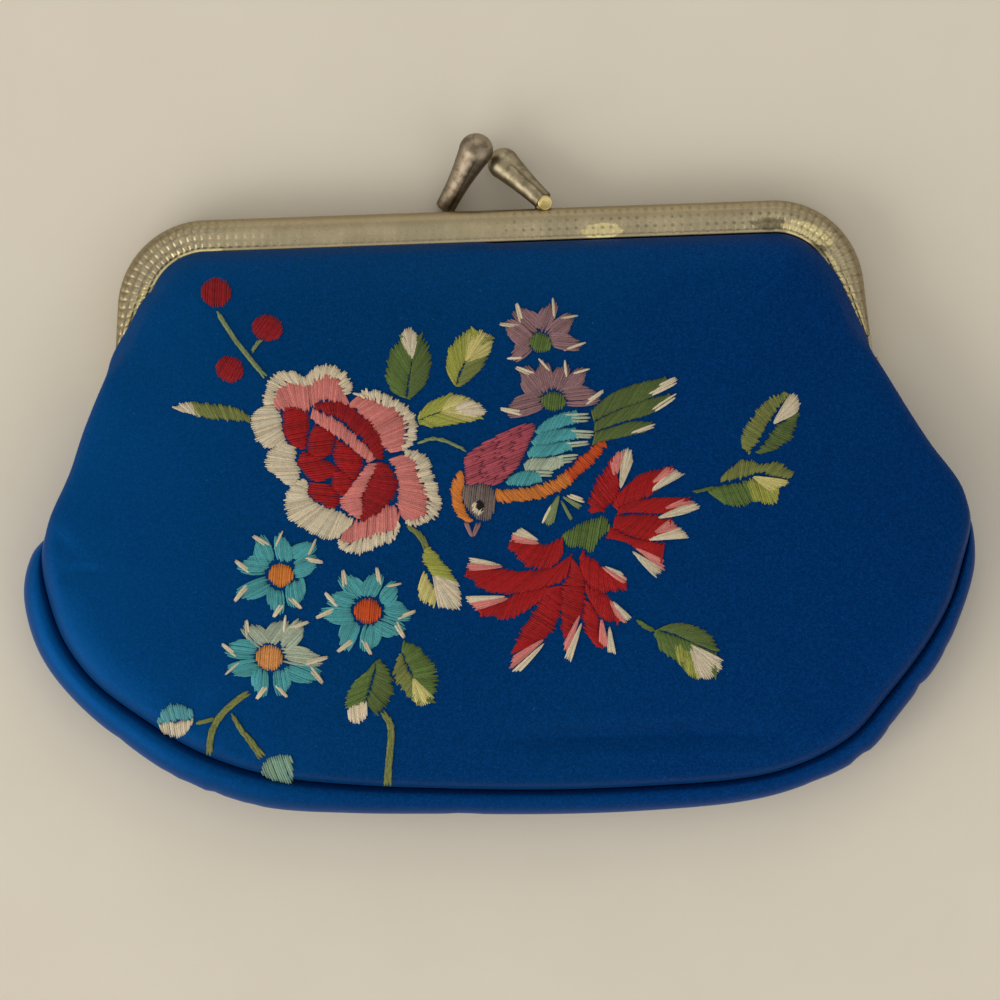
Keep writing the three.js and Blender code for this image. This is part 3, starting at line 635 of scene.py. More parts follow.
def satin_finish(name, gain=1.0):
    """Blue silk satin: a fine twill with a soft blue gloss and a little lint, greener in random clouds, with
    painted sheen and painted light making the left side greener and paler; gain brightens its blues.
    """
    finish = Finish(
        name, Metallic=0.35, Specular_IOR_Level=0.35, Specular_Tint=colour(20, 110, 200),
        Sheen_Weight=0.25, Sheen_Roughness=0.45, Sheen_Tint=colour(30, 120, 210),
    )
    place = finish.millimetres()
    x, y, z = finish.axes(place)
    wander = finish.noise(place, 0.35, 2.0)
    weave = (x + y * 0.8 + z * 0.6) * 17.0 + wander * 20.0
    twill = weave.wave()
    drawn_out = finish.make("ShaderNodeCombineXYZ", {}, (x * 0.5, y * 2.0, z))
    fibres = finish.noise(drawn_out, 4.5, 3.0, 0.65)
    clouds = finish.noise(place, 0.035, 3.0)
    mottle = finish.noise(place, 2.2, 3.0, 0.7)
    # A greener tone: partly random clouds, partly a painted sheen that grows towards the left.
    greener_tone_and_painted_sheen = (x * -0.011 + y * 0.004 + (clouds - 0.5) * 1.2 + 0.42).clamped()
    blue = finish.mix(greener_tone_and_painted_sheen, colour(1, 42, 96, gain), colour(0, 54, 96, gain))
    blue = finish.mix((mottle - 0.4).clamped() * 1.3, blue, colour(8, 70, 144, gain))
    # Painted light: paler blue towards the left side.
    painted_light_left = (x * -0.02 - 0.4).clamped()
    blue = finish.mix(painted_light_left * 0.34, blue, colour(6, 82, 160, gain))
    threads = finish.noise(place, 6.5, 2.0, 0.7)
    blue = finish.mix((threads - 0.52).clamped() * 2.2, blue, colour(20, 92, 168))
    lint = finish.make("ShaderNodeTexVoronoi", {}, Vector=place, Scale=0.55, Randomness=1.0)
    speck = (1 - lint.step(0.03, 0.07)) * finish.noise(place, 0.9, 1.0).step(0.5, 0.62)
    blue = finish.mix(speck * 0.35, blue, colour(70, 120, 170))
    finish.feed(
        Base_Color=blue,
        Roughness=0.4 + (fibres - 0.5) * 0.12 + (mottle - 0.5) * 0.1,
        Normal=finish.bump(twill * 0.16 + fibres * 1.2 + mottle * 0.7, 0.02),
    )
    return finish.material


blue_satin = satin_finish("blue_satin")
# A copy of the satin with its blues 15 % brighter, painted light, for the strip.
strip_satin_painted_lighter = satin_finish("strip_satin_painted_lighter", 1.15)

# Rear panel: the plain back of the pouch, padded satin that lies flat on the surface. Its top edge is
# glued into the rear half's channel and its lower edge is sewn to the strip.
HELD_COUNT = 241
HELD_INSET = 1.3
HELD_INSET_AT_HINGE = 2.1
HINGE_REACH = 7.0
MOUTH_GAP = 0.32
SATIN_THICKNESS = 0.6


def closed_loft(sections, middle):
    """Points and quads of sections that follow each other round a middle point, and the fan in the middle."""
    rows, columns = sections.shape[:2]
    faces = grid_faces(rows, columns, close_rows=True)
    centre = rows * columns
    inner = np.arange(rows) * columns + columns - 1
    faces += [[int(inner[i]), int(inner[(i + 1) % rows]), centre] for i in range(rows)]
    return np.concatenate([sections.reshape(-1, 3), [middle]]), faces


def rear_sections():
    """Sections of the rear panel from its held or sewn edge inwards, and its middle."""
    path, inward, _, along = frame_path(HELD_COUNT)
    start = np.where(along < HINGE_REACH, HELD_INSET_AT_HINGE, HELD_INSET)
    depth = np.maximum(channel_depth(along), start + 0.04 * (along < HINGE_REACH)) + MOUTH_GAP
    gripped = np.array([(0.0, 1.6), (-0.18, 1.55)])
    held = np.array([(0.25, 1.3), (1.0, 0.7), (1.8, 0.25), (2.8, 0.03), (5.0, 0.0)])
    insets = np.concatenate([start[:, None] + gripped[None, :, 0], depth[:, None] + held[None, :, 0]], 1)
    heights = np.tile(np.concatenate([gripped[:, 1], held[:, 1]]), (len(insets), 1))
    top = sections_of(path, inward, insets, heights)
    place, inward, tuck = pouch_stations()[:3]
    free = np.array([(0.5, 1.75), (0.25, 1.45), (0.15, 1.0), (0.35, 0.5), (0.9, 0.15), (2.2, 0.02),
                     (5.0, 0.0)])
    insets = tuck[:, None] + free[None, :, 0]
    heights = np.tile(free[:, 1], (len(insets), 1))
    rim = np.concatenate([top, sections_of(place, inward, insets, heights)[1:-1]])
    middle = np.array([*POUCH_MIDDLE, 0.0])
    rounds = [middle + (rim[:, -1:] - middle) * share for share in (0.8, 0.6, 0.4, 0.2)]
    return np.concatenate([rim, *rounds], 1), middle


def walled(obj, thickness):
    """Gives a single sheet its thickness, on the inner side."""
    solid = obj.modifiers.new("wall", "SOLIDIFY")
    solid.thickness = thickness * MM
    solid.offset = -1
    solid.use_even_offset = False
    return obj


def applied(obj):
    """The object with its modifiers made part of its mesh."""
    bpy.context.view_layer.update()
    evaluated = obj.evaluated_get(bpy.context.evaluated_depsgraph_get())
    mesh = bpy.data.meshes.new_from_object(evaluated)
    obj.modifiers.clear()
    obj.data = mesh
    return obj


points, faces = closed_loft(*rear_sections())
satin_rear = walled(piece("satin_rear_panel", points, faces, blue_satin, closed=False), SATIN_THICKNESS)
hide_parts("rear_panel")

# Strip: the narrow band of padded satin between the two panels. It is pleated inwards below each
# hinge, and round the bottom it swells out past the front seam, with small creases where it turns.
BAND_CREASES = [
    # x, y of the crease on the outer edge, depth and half width
    (46.4, -38.6, 0.45, 0.9), (54.4, -29.6, 0.4, 0.9), (50.2, -34.6, 0.16, 0.8), (57.9, -24.6, 0.14, 0.9),
    (-38.4, -40.3, 0.35, 0.8), (-36.6, -41.2, 0.3, 0.7), (-41.2, -38.9, 0.28, 0.9),
    (-43.8, -37.6, 0.12, 0.8),
    (-50.5, -32.8, 0.14, 1.1), (-34.0, -42.3, 0.14, 0.9), (40.2, -41.2, 0.12, 1.0),
    (-6.0, -44.4, 0.12, 1.6),
]
STRIP_THICKNESS = 0.5
STRIP_START_OUT = 0.25
STRIP_START_DROP = 0.3
REAR_SEAM_INSET = 0.45
REAR_SEAM_LEVEL = 1.7
REAR_SEAM_RISE = 0.3
STRIP_SECTION = np.array([
    # share of the way down, share of the swelling, share of the pleat, lift
    (0.0, -0.05, 0.0, -0.05), (0.015, 0.08, 0.02, 0.14), (0.035, 0.22, 0.06, 0.24),
    (0.07, 0.42, 0.13, 0.27), (0.13, 0.66, 0.3, 0.24), (0.21, 0.84, 0.52, 0.16),
    (0.32, 0.95, 0.8, 0.07), (0.48, 1.0, 1.0, 0.0), (0.62, 0.96, 0.9, 0.0),
    (0.74, 0.85, 0.7, 0.0), (0.85, 0.67, 0.4, 0.0), (0.93, 0.47, 0.15, 0.0),
    (0.98, 0.28, 0.03, 0.0), (1.0, 0.1, 0.0, 0.0),
])


def strip_sections():
    """Sections of the strip from the front seam, round its swelling or its pleat, to the rear seam."""
    place, inward, tuck, height, band, pleat, turned_out = pouch_stations()
    down, out, pulled, lift = smoothed(STRIP_SECTION, 3).T
    start_in = tuck - STRIP_START_OUT * turned_out
    start_up = height - STRIP_START_DROP
    end_in = tuck + REAR_SEAM_INSET
    end_up = REAR_SEAM_LEVEL + REAR_SEAM_RISE * (1 - turned_out)
    swell = np.full(len(place), 1.0)
    outer = place - inward * band[:, None]
    for x, y, depth, half_width in BAND_CREASES:
        away = np.hypot(outer[:, 0] - x, outer[:, 1] - y) / half_width
        swell = swell - depth * np.exp(-away**2) / np.maximum(band, 1.0)
    plump = band * swell
    run_in = (end_in - start_in)[:, None] * down
    run_up = (end_up - start_up)[:, None] * down
    insets = start_in[:, None] + run_in + pleat[:, None] * pulled - plump[:, None] * out
    heights = start_up[:, None] + run_up + plump[:, None] * lift
    return sections_of(place, inward, insets, heights)


sections = strip_sections()
strip_rows, strip_columns = sections.shape[:2]
strip_faces = grid_faces(strip_rows, strip_columns)
# The strip wears the brighter satin; its extra brightness is painted light.
satin_strip = piece("satin_strip", sections.reshape(-1, 3), strip_faces, strip_satin_painted_lighter, closed=False)
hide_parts("gusset")

# Front panel: the embroidered face, satin over soft padding. Its top edge is glued into the front
# half's channel, its sides fold round over the arms' ends, and its lower edge is sewn to the strip.
FRONT_FOLDS = [
    # ends, depth and half width of each fold
    ((-1.0, -34.6), (36.0, -35.0), 1.3, 1.3), ((22.0, 21.8), (37.0, 25.2), 0.75, 1.8),
    ((-4.0, -30.5), (24.0, -31.2), 0.15, 2.6), ((6.0, -38.1), (32.0, -38.2), 0.12, 0.9),
]
SHOULDER = 8.0
SEAM_LEVEL = 9.3
SLOT_LEVEL = FRONT_BASE + HALF_DEPTH / 2 + 0.5
TUCK_LIP = 2.6


def satin_edge(s, along):
    """How far in from the frame's outer edge the satin's edge shows: it swells out over both arms."""
    left = np.interp(along, [4.6, 6.8, 9.2, 12.2, 15.5], [-0.6, 0.3, 1.6, 2.9, 4.2])
    right = np.interp(along, [4.6, 8.1, 11.6, 15.5, 20.0, 26.0], [0.5, 1.7, 2.85, 3.85, 4.35, 4.4])
    return np.where(s < 0, left, right)


def front_sections():
    """Sections of the front panel from its held or sewn edge up over the padding, and its middle."""
    rise = BELLY - SEAM_LEVEL
    path, inward, s, along = frame_path(HELD_COUNT)
    depth = np.maximum(channel_depth(along), 1.0)
    over = depth + 0.1 - satin_edge(s, along)
    held_keys = [
        # inset past the channel's lip, share of the overlap taken off it, height
        (-0.4, 0.0, SLOT_LEVEL + 0.04), (0.14, 0.0, 5.95), (0.22, 0.0, 6.45), (0.2, 0.15, 6.82),
        (0.1, 1.0, 7.15), (0.5, 0.95, 7.9), (1.2, 0.8, 8.8), (2.3, 0.6, 9.7), (3.9, 0.3, 10.5),
        (6.0, 0.0, 11.1),
    ]
    insets = [np.minimum(HELD_INSET, depth * 0.5)]
    levels = [np.full(len(path), SLOT_LEVEL)]
    for past, share, level in held_keys:
        insets.append(depth + past - over * share)
        levels.append(np.full(len(path), level))
    held = sections_of(path, inward, np.stack(insets, 1), np.stack(levels, 1))
    place, inward, tuck, height, _, _, turned_out = pouch_stations()
    tucked = [
        # share of the tuck, share of the shoulder, share of the rise, share of the lip
        (1, 0, 0, 0), (0.75, 0, 0, 0.06), (0.4, 0, 0, 0.3), (0.15, 0, 0, 0.55), (0.03, 0, 0, 0.8),
        (0, 0, 0.05, 1),
        (0, 0.035, 0.14, 1), (0, 0.12, 0.25, 1), (0, 0.3, 0.36, 1), (0, 0.6, 0.47, 1), (0, 1, 0.56, 1),
    ]
    seamed = [
        # share of the shoulder, share of the rise
        (0, -0.12), (0.004, -0.03), (0.01, 0.05), (0.02, 0.13), (0.035, 0.21), (0.06, 0.3), (0.1, 0.385),
        (0.18, 0.475), (0.33, 0.575), (0.58, 0.68), (1, 0.76),
    ]
    free_in, free_up = [], []
    for (back, tucked_in, tucked_up, lipped), (seam_in, seam_up) in zip(tucked, seamed):
        tucked_inset = back * tuck + tucked_in * SHOULDER
        free_in.append(tucked_inset * (1 - turned_out) + seam_in * SHOULDER * turned_out)
        tucked_height = lipped * TUCK_LIP + tucked_up * rise
        free_up.append(height + tucked_height * (1 - turned_out) + seam_up * rise * turned_out)
    free = sections_of(place, inward, np.stack(free_in, 1), np.stack(free_up, 1))
    keys = np.concatenate([held, free[1:-1]])
    evening_passes = (2, 4, 10, 24, 60, 140)
    for column, passes in zip(range(5, 11), evening_passes):
        for _ in range(passes):
            ring = keys[:, column]
            keys[:, column] = (np.roll(ring, 1, 0) + 2 * ring + np.roll(ring, -1, 0)) / 4
    middle = np.array([*POUCH_MIDDLE, BELLY])
    padding = Padding(keys[:, -1])
    rounds = []
    for share in np.linspace(0.94, 0.06, 13):
        spoke = middle + (keys[:, -1] - middle) * share
        spoke[:, 2] = padding.height(spoke)
        rounds.append(spoke[:, None])
    middle[2] = padding.height(middle[None])[0]
    rim = np.stack([smoothed(section, 2) for section in keys])
    return np.concatenate([rim, *rounds], 1), middle


class Padding:
    """The swelling of cloth stretched over soft padding inside a ring, on a grid of one millimetre."""

    def __init__(self, ring):
        self.low = np.floor(ring[:, :2].min(0)) - 2
        size = (np.ceil(ring[:, :2].max(0)) + 3 - self.low).astype(int)
        x, y = np.meshgrid(*(self.low[axis] + np.arange(size[axis]) for axis in (0, 1)), indexing="ij")
        grid = np.stack([x.ravel(), y.ravel()], 1)
        start, end = ring[:, :2], np.roll(ring[:, :2], -1, 0)
        inside = np.zeros(len(grid), bool)
        nearest = np.full(len(grid), np.inf)
        rim_height = np.zeros(len(grid))
        for (x1, y1), (x2, y2), height in zip(start, end, ring[:, 2]):
            if y1 != y2:
                spans = (grid[:, 1] < y1) != (grid[:, 1] < y2)
                inside ^= spans & (grid[:, 0] < x1 + (x2 - x1) * (grid[:, 1] - y1) / (y2 - y1))
            away = (grid[:, 0] - x1) ** 2 + (grid[:, 1] - y1) ** 2
            rim_height = np.where(away < nearest, height, rim_height)
            nearest = np.minimum(away, nearest)
        inside = inside.reshape(x.shape)
        level = rim_height.reshape(x.shape)
        base = self.settled(level, inside, 0.0)
        swelling = self.settled(np.zeros_like(level), inside, 1.0)
        self.grid = base + swelling * (BELLY - base[inside].mean()) / swelling.max()

    @staticmethod
    def settled(level, inside, load, passes=5000):
        """The level of a stretched skin that is fixed at the rim and lifted by a load."""
        for _ in range(passes):
            around = np.roll(level, 1, 0) + np.roll(level, -1, 0)
            around = around + np.roll(level, 1, 1) + np.roll(level, -1, 1)
            level = np.where(inside, around / 4 + load, level)
        return level

    def height(self, points):
        place = (points[:, :2] - self.low).T
        corner = place.astype(int)
        u, v = place - corner
        i, j = corner
        near = self.grid[i, j] * (1 - u) + self.grid[i + 1, j] * u
        far = self.grid[i, j + 1] * (1 - u) + self.grid[i + 1, j + 1] * u
        return near * (1 - v) + far * v


def folded(points):
    """How far the folds press the front in, and its slow waves."""
    depth = np.zeros(len(points))
    for start, end, fold_depth, half_width in FRONT_FOLDS:
        start, run = np.array(start), np.array(end) - np.array(start)
        share = ((points[:, :2] - start) @ run) / (run @ run)
        nearest = np.clip(share, 0, 1)[:, None] * run
        away = np.linalg.norm(points[:, :2] - start - nearest, axis=1) / half_width
        fade = soft_step(-0.1, 0.3, np.minimum(share, 1 - share))
        depth += fold_depth * np.exp(-away**2) * fade
    x, y = points[:, 0], points[:, 1]
    depth += 0.09 * np.sin(x / 7.3 + y / 15.1) * np.sin(y / 8.7 - x / 21.0 + 1.3)
    return depth


def coordinates(mesh):
    """Where the mesh's points are, in millimetres."""
    flat = np.zeros(len(mesh.vertices) * 3, np.float32)
    mesh.vertices.foreach_get("co", flat)
    return flat.reshape(-1, 3).astype(float) / MM


def move(mesh, points):
    mesh.vertices.foreach_set("co", (points * MM).astype(np.float32).ravel())
    mesh.update()


def stuffed(obj, held, furthest, pressure=4.0, steps=20):
    """Swells cloth over its padding by simulation, its held edge pinned and no point moving past furthest."""
    before = coordinates(obj.data)
    pinned = obj.vertex_groups.new(name="sewn_edge")
    for index in np.flatnonzero(held > 0):
        pinned.add([int(index)], float(held[index]), "REPLACE")
    simulation = obj.modifiers.new("stuffing", "CLOTH")
    settings = simulation.settings
    settings.vertex_group_mass = "sewn_edge"
    settings.quality = 5
    settings.mass = 0.1
    settings.tension_stiffness = 25
    settings.compression_stiffness = 12
    settings.bending_stiffness = 0.5
    settings.use_pressure = True
    settings.uniform_pressure_force = pressure
    settings.effector_weights.gravity = 0
    simulation.point_cache.frame_end = steps
    for step in range(1, steps + 1):
        bpy.context.scene.frame_set(step)
    applied(obj)
    bpy.context.scene.frame_set(1)
    after = coordinates(obj.data)
    way = after - before
    length = np.linalg.norm(way, axis=1)[:, None]
    move(obj.data, before + way * np.minimum(1, furthest / np.maximum(length, 1e-9)))


sections, middle = front_sections()
front_rows, front_columns = sections.shape[:2]
points, faces = closed_loft(sections, middle)
satin_front = piece("satin_front_panel", points, [face[::-1] for face in faces], blue_satin, closed=False)
held_firm = 11
slackening = (0.85, 0.6, 0.4, 0.2)
sewn = np.zeros((front_rows, front_columns))
sewn[:, :held_firm] = 1.0
sewn[:, held_firm:held_firm + len(slackening)] = slackening
stuffed(satin_front, np.append(sewn.ravel(), 0.0), furthest=0.8)
stretched = coordinates(satin_front.data)
bpy.data.objects.remove(satin_front)
finer = np.stack([smoothed(section, 2) for section in stretched[:-1].reshape(front_rows, front_columns, 3)])
points, faces = closed_loft(finer, stretched[-1])
near_edge = 1 - soft_step(11.5, 13.5, points[:, 2])
points[:, 2] -= folded(points) * (1 - near_edge * 0.6)
satin_front = piece("satin_front_panel", points, [face[::-1] for face in faces], blue_satin, closed=False)
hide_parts("front_panel")


def surface_of(*objects):
    """A search tree of the satin that the needle goes through."""
    points, faces, start = [], [], 0
    for obj in objects:
        points += [vertex.co for vertex in obj.data.vertices]
        faces += [[corner + start for corner in polygon.vertices] for polygon in obj.data.polygons]
        start = len(points)
    return BVHTree.FromPolygons(points, faces)


cloth = surface_of(satin_front, satin_strip)
walled(satin_front, SATIN_THICKNESS)
walled(satin_strip, STRIP_THICKNESS)

# Embroidery: floss silk in satin stitch, worked through the front before it was padded. Each stitch
# is a strand of its own that rises from the satin, runs over it and dips back in.
PITCH = 0.29
STRAND = 0.36
STRAND_RISE = 0.18
SILK = {
    "cream": (230, 216, 188), "pink": (230, 138, 132), "red": (176, 16, 22), "crimson": (160, 14, 26),
    "berry": (158, 22, 34), "sage": (136, 154, 104), "olive": (130, 138, 74), "leaf": (100, 126, 62),
    "dark_leaf": (94, 114, 60), "yellow_green": (172, 176, 80), "straw": (218, 208, 132),
    "lilac": (158, 120, 126),
    "teal": (82, 172, 180), "pale_teal": (184, 198, 176), "orange": (226, 134, 56), "fire": (216, 84, 28),
    "apricot": (226, 156, 90), "grey": (128, 114, 110), "black": (22, 18, 16), "rose": (188, 84, 100),
    "bud_green": (138, 176, 156), "bud_teal": (96, 172, 182),
}


def silk_finish():
    """Dyed floss: fine fibres along the strand, a soft gloss, painted shade in the grooves between fibres,
    and a tone that varies a little.
    """
    finish = Finish("floss_silk", Specular_IOR_Level=0.22, Sheen_Weight=0.05, Sheen_Roughness=0.4)
    dyed = finish.attribute("silk", "Color")
    uv = finish.make("ShaderNodeUVMap", {"uv_map": "strand"})
    across, along, _ = finish.axes(uv)
    fibres = (across * 44.0 + along * 5.0).wave()
    fuzz = finish.noise(finish.millimetres(), 5.0, 3.0, 0.6)
    # shade: painted shade in the grooves between fibres, plus a random darker tone from the fuzz.
    shade = finish.mix((0.5 - fibres * 0.25) * 0.3 + (fuzz - 0.5) * 0.5, dyed, colour(20, 16, 14))
    finish.feed(
        Base_Color=shade,
        Roughness=0.5 + (fuzz - 0.5) * 0.2,
        Normal=finish.bump(fibres * 0.5 + fuzz, 0.03),
    )
    return finish.material


floss_silk = silk_finish()


class Needlework:
    """Stitches of one motif, gathered and then made into one mesh."""

    def __init__(self, name, seed):
        self.name, self.random, self.stitches = name, np.random.default_rng(seed), []

    def stitch(self, start, end, silk, width=STRAND, lift=0.0, bow=0.0):
        """One strand; lift lays it over others and bow bends it sideways."""
        self.stitches.append((np.array(start), np.array(end), SILK[silk], width, lift, bow))

    def rails(self, silk, first, second, lean=0.0, ragged=0.22, far_ragged=None, gap=0.0, grow=0.0,
              lift=0.0):
        """Stitches from one edge to the other, side by side, the second edge leading by lean."""
        far_ragged = ragged if far_ragged is None else far_ragged
        first, second = smoothed(first, 12), smoothed(second, 12)
        ways = [walked(rail) for rail in (first, second)]
        count = max(2, round(max(way[-1] for way in ways) * (1 + abs(lean)) / PITCH))
        for i in range(count):
            share = (i + 0.5) / count * (1 + abs(lean)) - max(lean, 0.0)
            ends = []
            for rail, way, at in ((first, ways[0], share), (second, ways[1], share + lean)):
                at = min(1.0, max(0.0, at)) * way[-1]
                ends.append(np.array([np.interp(at, way, rail[:, axis]) for axis in (0, 1)]))
            run = ends[1] - ends[0]
            length = np.linalg.norm(run) + 1e-9
            if length < 0.35:
                continue
            start = ends[0] + run / length * (gap - grow + self.random.uniform(-ragged, ragged))
            end = ends[1] + run / length * (grow + self.random.uniform(-far_ragged, far_ragged))
            self.stitch(start, end, silk, lift=lift)

    def fill(self, silk, outline, angle, ragged=0.12, longest=7.5, lift=0.0):
        """Parallel stitches at an angle that fill a closed outline."""
        loop = smoothed([*outline, outline[0]], 8)
        turn = math.radians(angle)
        run = np.array([math.cos(turn), math.sin(turn)])
        across = np.array([-math.sin(turn), math.cos(turn)])
        u, v = loop @ run, loop @ across
        count = max(1, round((v.max() - v.min()) / PITCH))
        for i in range(count):
            level = v.min() + (v.max() - v.min()) * (i + 0.5) / count
            crossings = []
            for k in range(len(loop) - 1):
                if (v[k] - level) * (v[k + 1] - level) < 0:
                    crossings.append(u[k] + (u[k + 1] - u[k]) * (level - v[k]) / (v[k + 1] - v[k]))
            crossings.sort()
            for low, high in zip(crossings[::2], crossings[1::2]):
                if high - low < 0.3:
                    continue
                pieces = max(1, math.ceil((high - low) / longest))
                inner = [(part + self.random.uniform(-0.3, 0.3)) / pieces for part in range(1, pieces)]
                breaks = [low + (high - low) * share for share in [0.0, *inner, 1.0]]
                for near, far in zip(breaks, breaks[1:]):
                    a = near - (0.06 if near == low else 0.3) + self.random.uniform(-ragged, ragged)
                    b = far + 0.06 + self.random.uniform(-ragged, ragged)
                    self.stitch(run * a + across * level, run * b + across * level, silk, lift=lift)

    def disc(self, silk, centre, radius_x, radius_y, angle, lift=0.0):
        """A round or oval spot of parallel stitches."""
        ring = [(centre[0] + radius_x * math.cos(a), centre[1] + radius_y * math.sin(a))
                for a in np.linspace(0, 2 * math.pi, 10, endpoint=False)]
        self.fill(silk, ring, angle, lift=lift)

    def fan(self, silk, apex, edge, bunch=0.35, pitch=PITCH, lift=0.0, spread=0.0):
        """Stitches that spread from an apex to an edge, their starts staggered; spread widens the edge."""
        edge = smoothed(edge, 12)
        for end, other in ((0, 1), (-1, -2)):
            way = edge[end] - edge[other]
            edge[end] = edge[end] + way / (np.linalg.norm(way) + 1e-9) * spread
        way = walked(edge)
        count = max(2, round(way[-1] / pitch))
        apex = np.array(apex)
        for i in range(count):
            at = way[-1] * (i + 0.5) / count
            end = np.array([np.interp(at, way, edge[:, axis]) for axis in (0, 1)])
            start = apex + (end - apex) * (self.random.uniform(0, bunch) if i % 2 else 0.02)
            self.stitch(start, end + (end - apex) * self.random.uniform(-0.04, 0.04), silk, lift=lift)

    def petal(self, silk, edge_silk, base, tip, width, edge_side=1):
        """A small pointed petal of lengthwise stitches, with a pale thread or two beside its tip."""
        base, tip = np.array(base), np.array(tip)
        run = tip - base
        length = np.linalg.norm(run)
        run = run / length
        base = base - run * 0.2
        across = np.array([-run[1], run[0]]) * edge_side
        half = width * 0.7
        slant = 0.34 * half * 0.7
        count = max(7, round(width / 0.23))
        for i in range(count):
            u = 2 * (i + 0.5) / count - 1
            reach = 0.95 - 0.31 * (abs(u - 0.35) / 1.35) ** 1.3
            near = length * self.random.uniform(-0.05, 0.08)
            far = length * reach + self.random.uniform(-0.2, 0.2)
            start = base + across * (u * half * 0.66 - slant) + run * near
            end = base + across * (u * half * 0.76 + slant) + run * far
            self.stitch(start, end, silk, bow=0.16 * u * half * edge_side)
        pale_threads = ((0.42, 0.86), (0.5, 0.56))[:1 if width < 2.05 else 2]
        for at, side in pale_threads:
            start = base + across * half * side + run * length * (at + self.random.uniform(-0.06, 0.06))
            self.stitch(start, tip + across * half * (0.4 * side - 0.1), edge_silk, width=0.38, lift=0.07)

    def stem(self, silk, path, width=0.6, to_width=None):
        """Short overlapping stitches that follow a line."""
        path = smoothed(path, 10)
        way = walked(path)
        to_width = width if to_width is None else to_width
        length, step, lane_width = 2.0, 0.62, 0.26
        count = max(1, math.ceil((way[-1] - length * 0.6) / step))
        for i in range(count + 1):
            at = np.array([i, i]) * (way[-1] - length) / max(count, 1) + np.array([0, length])
            at = np.clip(at, 0, way[-1])
            ends = np.stack([np.interp(at, way, path[:, axis]) for axis in (0, 1)], 1)
            run = (ends[1] - ends[0]) / (np.linalg.norm(ends[1] - ends[0]) + 1e-9)
            side = np.array([-run[1], run[0]])
            wide = width + (to_width - width) * at.mean() / way[-1]
            lanes = max(1, round((wide - 0.15) / lane_width))
            for lane in range(lanes):
                off = (lane + 0.5) / lanes * 2 - 1 if lanes > 1 else 0.0
                shift = side * off * (wide - 0.3) / 2
                slant = side * 0.13 * (1 if (lane + i) % 2 else -1)
                start, end = ends[0] + shift - slant, ends[1] + shift + slant
                self.stitch(start, end, silk, lift=0.04 * (i % 2))

    def sew(self):
        """The mesh of all stitches: a tube of six sides for each, laid on the satin."""
        sides = 6
        above_purse, beside_satin = 0.05, 0.009
        shares = np.array([0.0, 0.06, 0.22, 0.5, 0.78, 0.94, 1.0])
        swell = np.array([0.0, 0.62, 0.95, 1.0, 0.95, 0.62, 0.0])
        arch = np.array([-0.16, 0.02, 0.12, 0.16, 0.12, 0.02, -0.16])
        angles = np.linspace(0, 2 * math.pi, sides, endpoint=False) + math.pi / 6
        points, faces, tints, strand_uv = [], [], [], []
        for start, end, tint, width, lift, bow in self.stitches:
            run = np.array([*(end - start), 0.0])
            length = np.linalg.norm(run)
            run = run / length
            side = np.array([-run[1], run[0], 0.0])
            drift = bow + self.random.uniform(-0.05, 0.05)
            path, rise = [], []
            for share in shares:
                x, y = start + (end - start) * share
                hit = cloth.ray_cast(Vector((x * MM, y * MM, above_purse)), Vector((0, 0, -1)))[0]
                if hit is None:
                    hit = Vector((x * MM, y * MM, beside_satin))
                path.append(np.array(hit) / MM)
                rise.append(hit.z / MM)
            rise = np.array(rise)
            taut = np.maximum(rise, rise[0] + (rise[-1] - rise[0]) * shares)
            plump = width * self.random.uniform(0.9, 1.1)
            high = STRAND_RISE * self.random.uniform(0.85, 1.2)
            first = len(points)
            shade = self.random.uniform(0.76, 1.14)
            warm = self.random.uniform(0.96, 1.04)
            dyed = colour(*tint)
            dyed = (dyed[0] * shade * warm, dyed[1] * shade, dyed[2] * shade / warm, 1.0)
            for k, share in enumerate(shares):
                level = taut[k] + arch[k] * min(1.0, length / 1.5) + lift
                centre = np.array([path[k][0], path[k][1], level])
                centre = centre + side * drift * math.sin(math.pi * share)
                if k in (0, len(shares) - 1):
                    points.append(centre)
                    tints.append(dyed)
                    strand_uv.append((0.5, share * length))
                    continue
                for angle in angles:
                    outwards = side * math.cos(angle) * plump / 2 * swell[k]
                    points.append(centre + outwards + np.array([0, 0, math.sin(angle) * high * swell[k]]))
                    tints.append(dyed)
                    strand_uv.append((angle / (2 * math.pi), share * length))
            rings = len(shares) - 2
            last = first + 1 + rings * sides
            for j in range(sides):
                k = (j + 1) % sides
                faces.append([first, first + 1 + k, first + 1 + j])
                for ring in range(rings - 1):
                    a = first + 1 + ring * sides
                    faces.append([a + j, a + k, a + sides + k, a + sides + j])
                faces.append([last, last - sides + j, last - sides + k])
        work = piece(self.name, np.array(points), faces, floss_silk)
        mesh = work.data
        silk = mesh.color_attributes.new("silk", "FLOAT_COLOR", "POINT")
        silk.data.foreach_set("color", np.array(tints, np.float32).ravel())
        uv = mesh.uv_layers.new(name="strand")
        corners = np.zeros(len(mesh.loops), np.int32)
        mesh.loops.foreach_get("vertex_index", corners)
        uv.data.foreach_set("uv", np.array(strand_uv, np.float32)[corners].ravel())


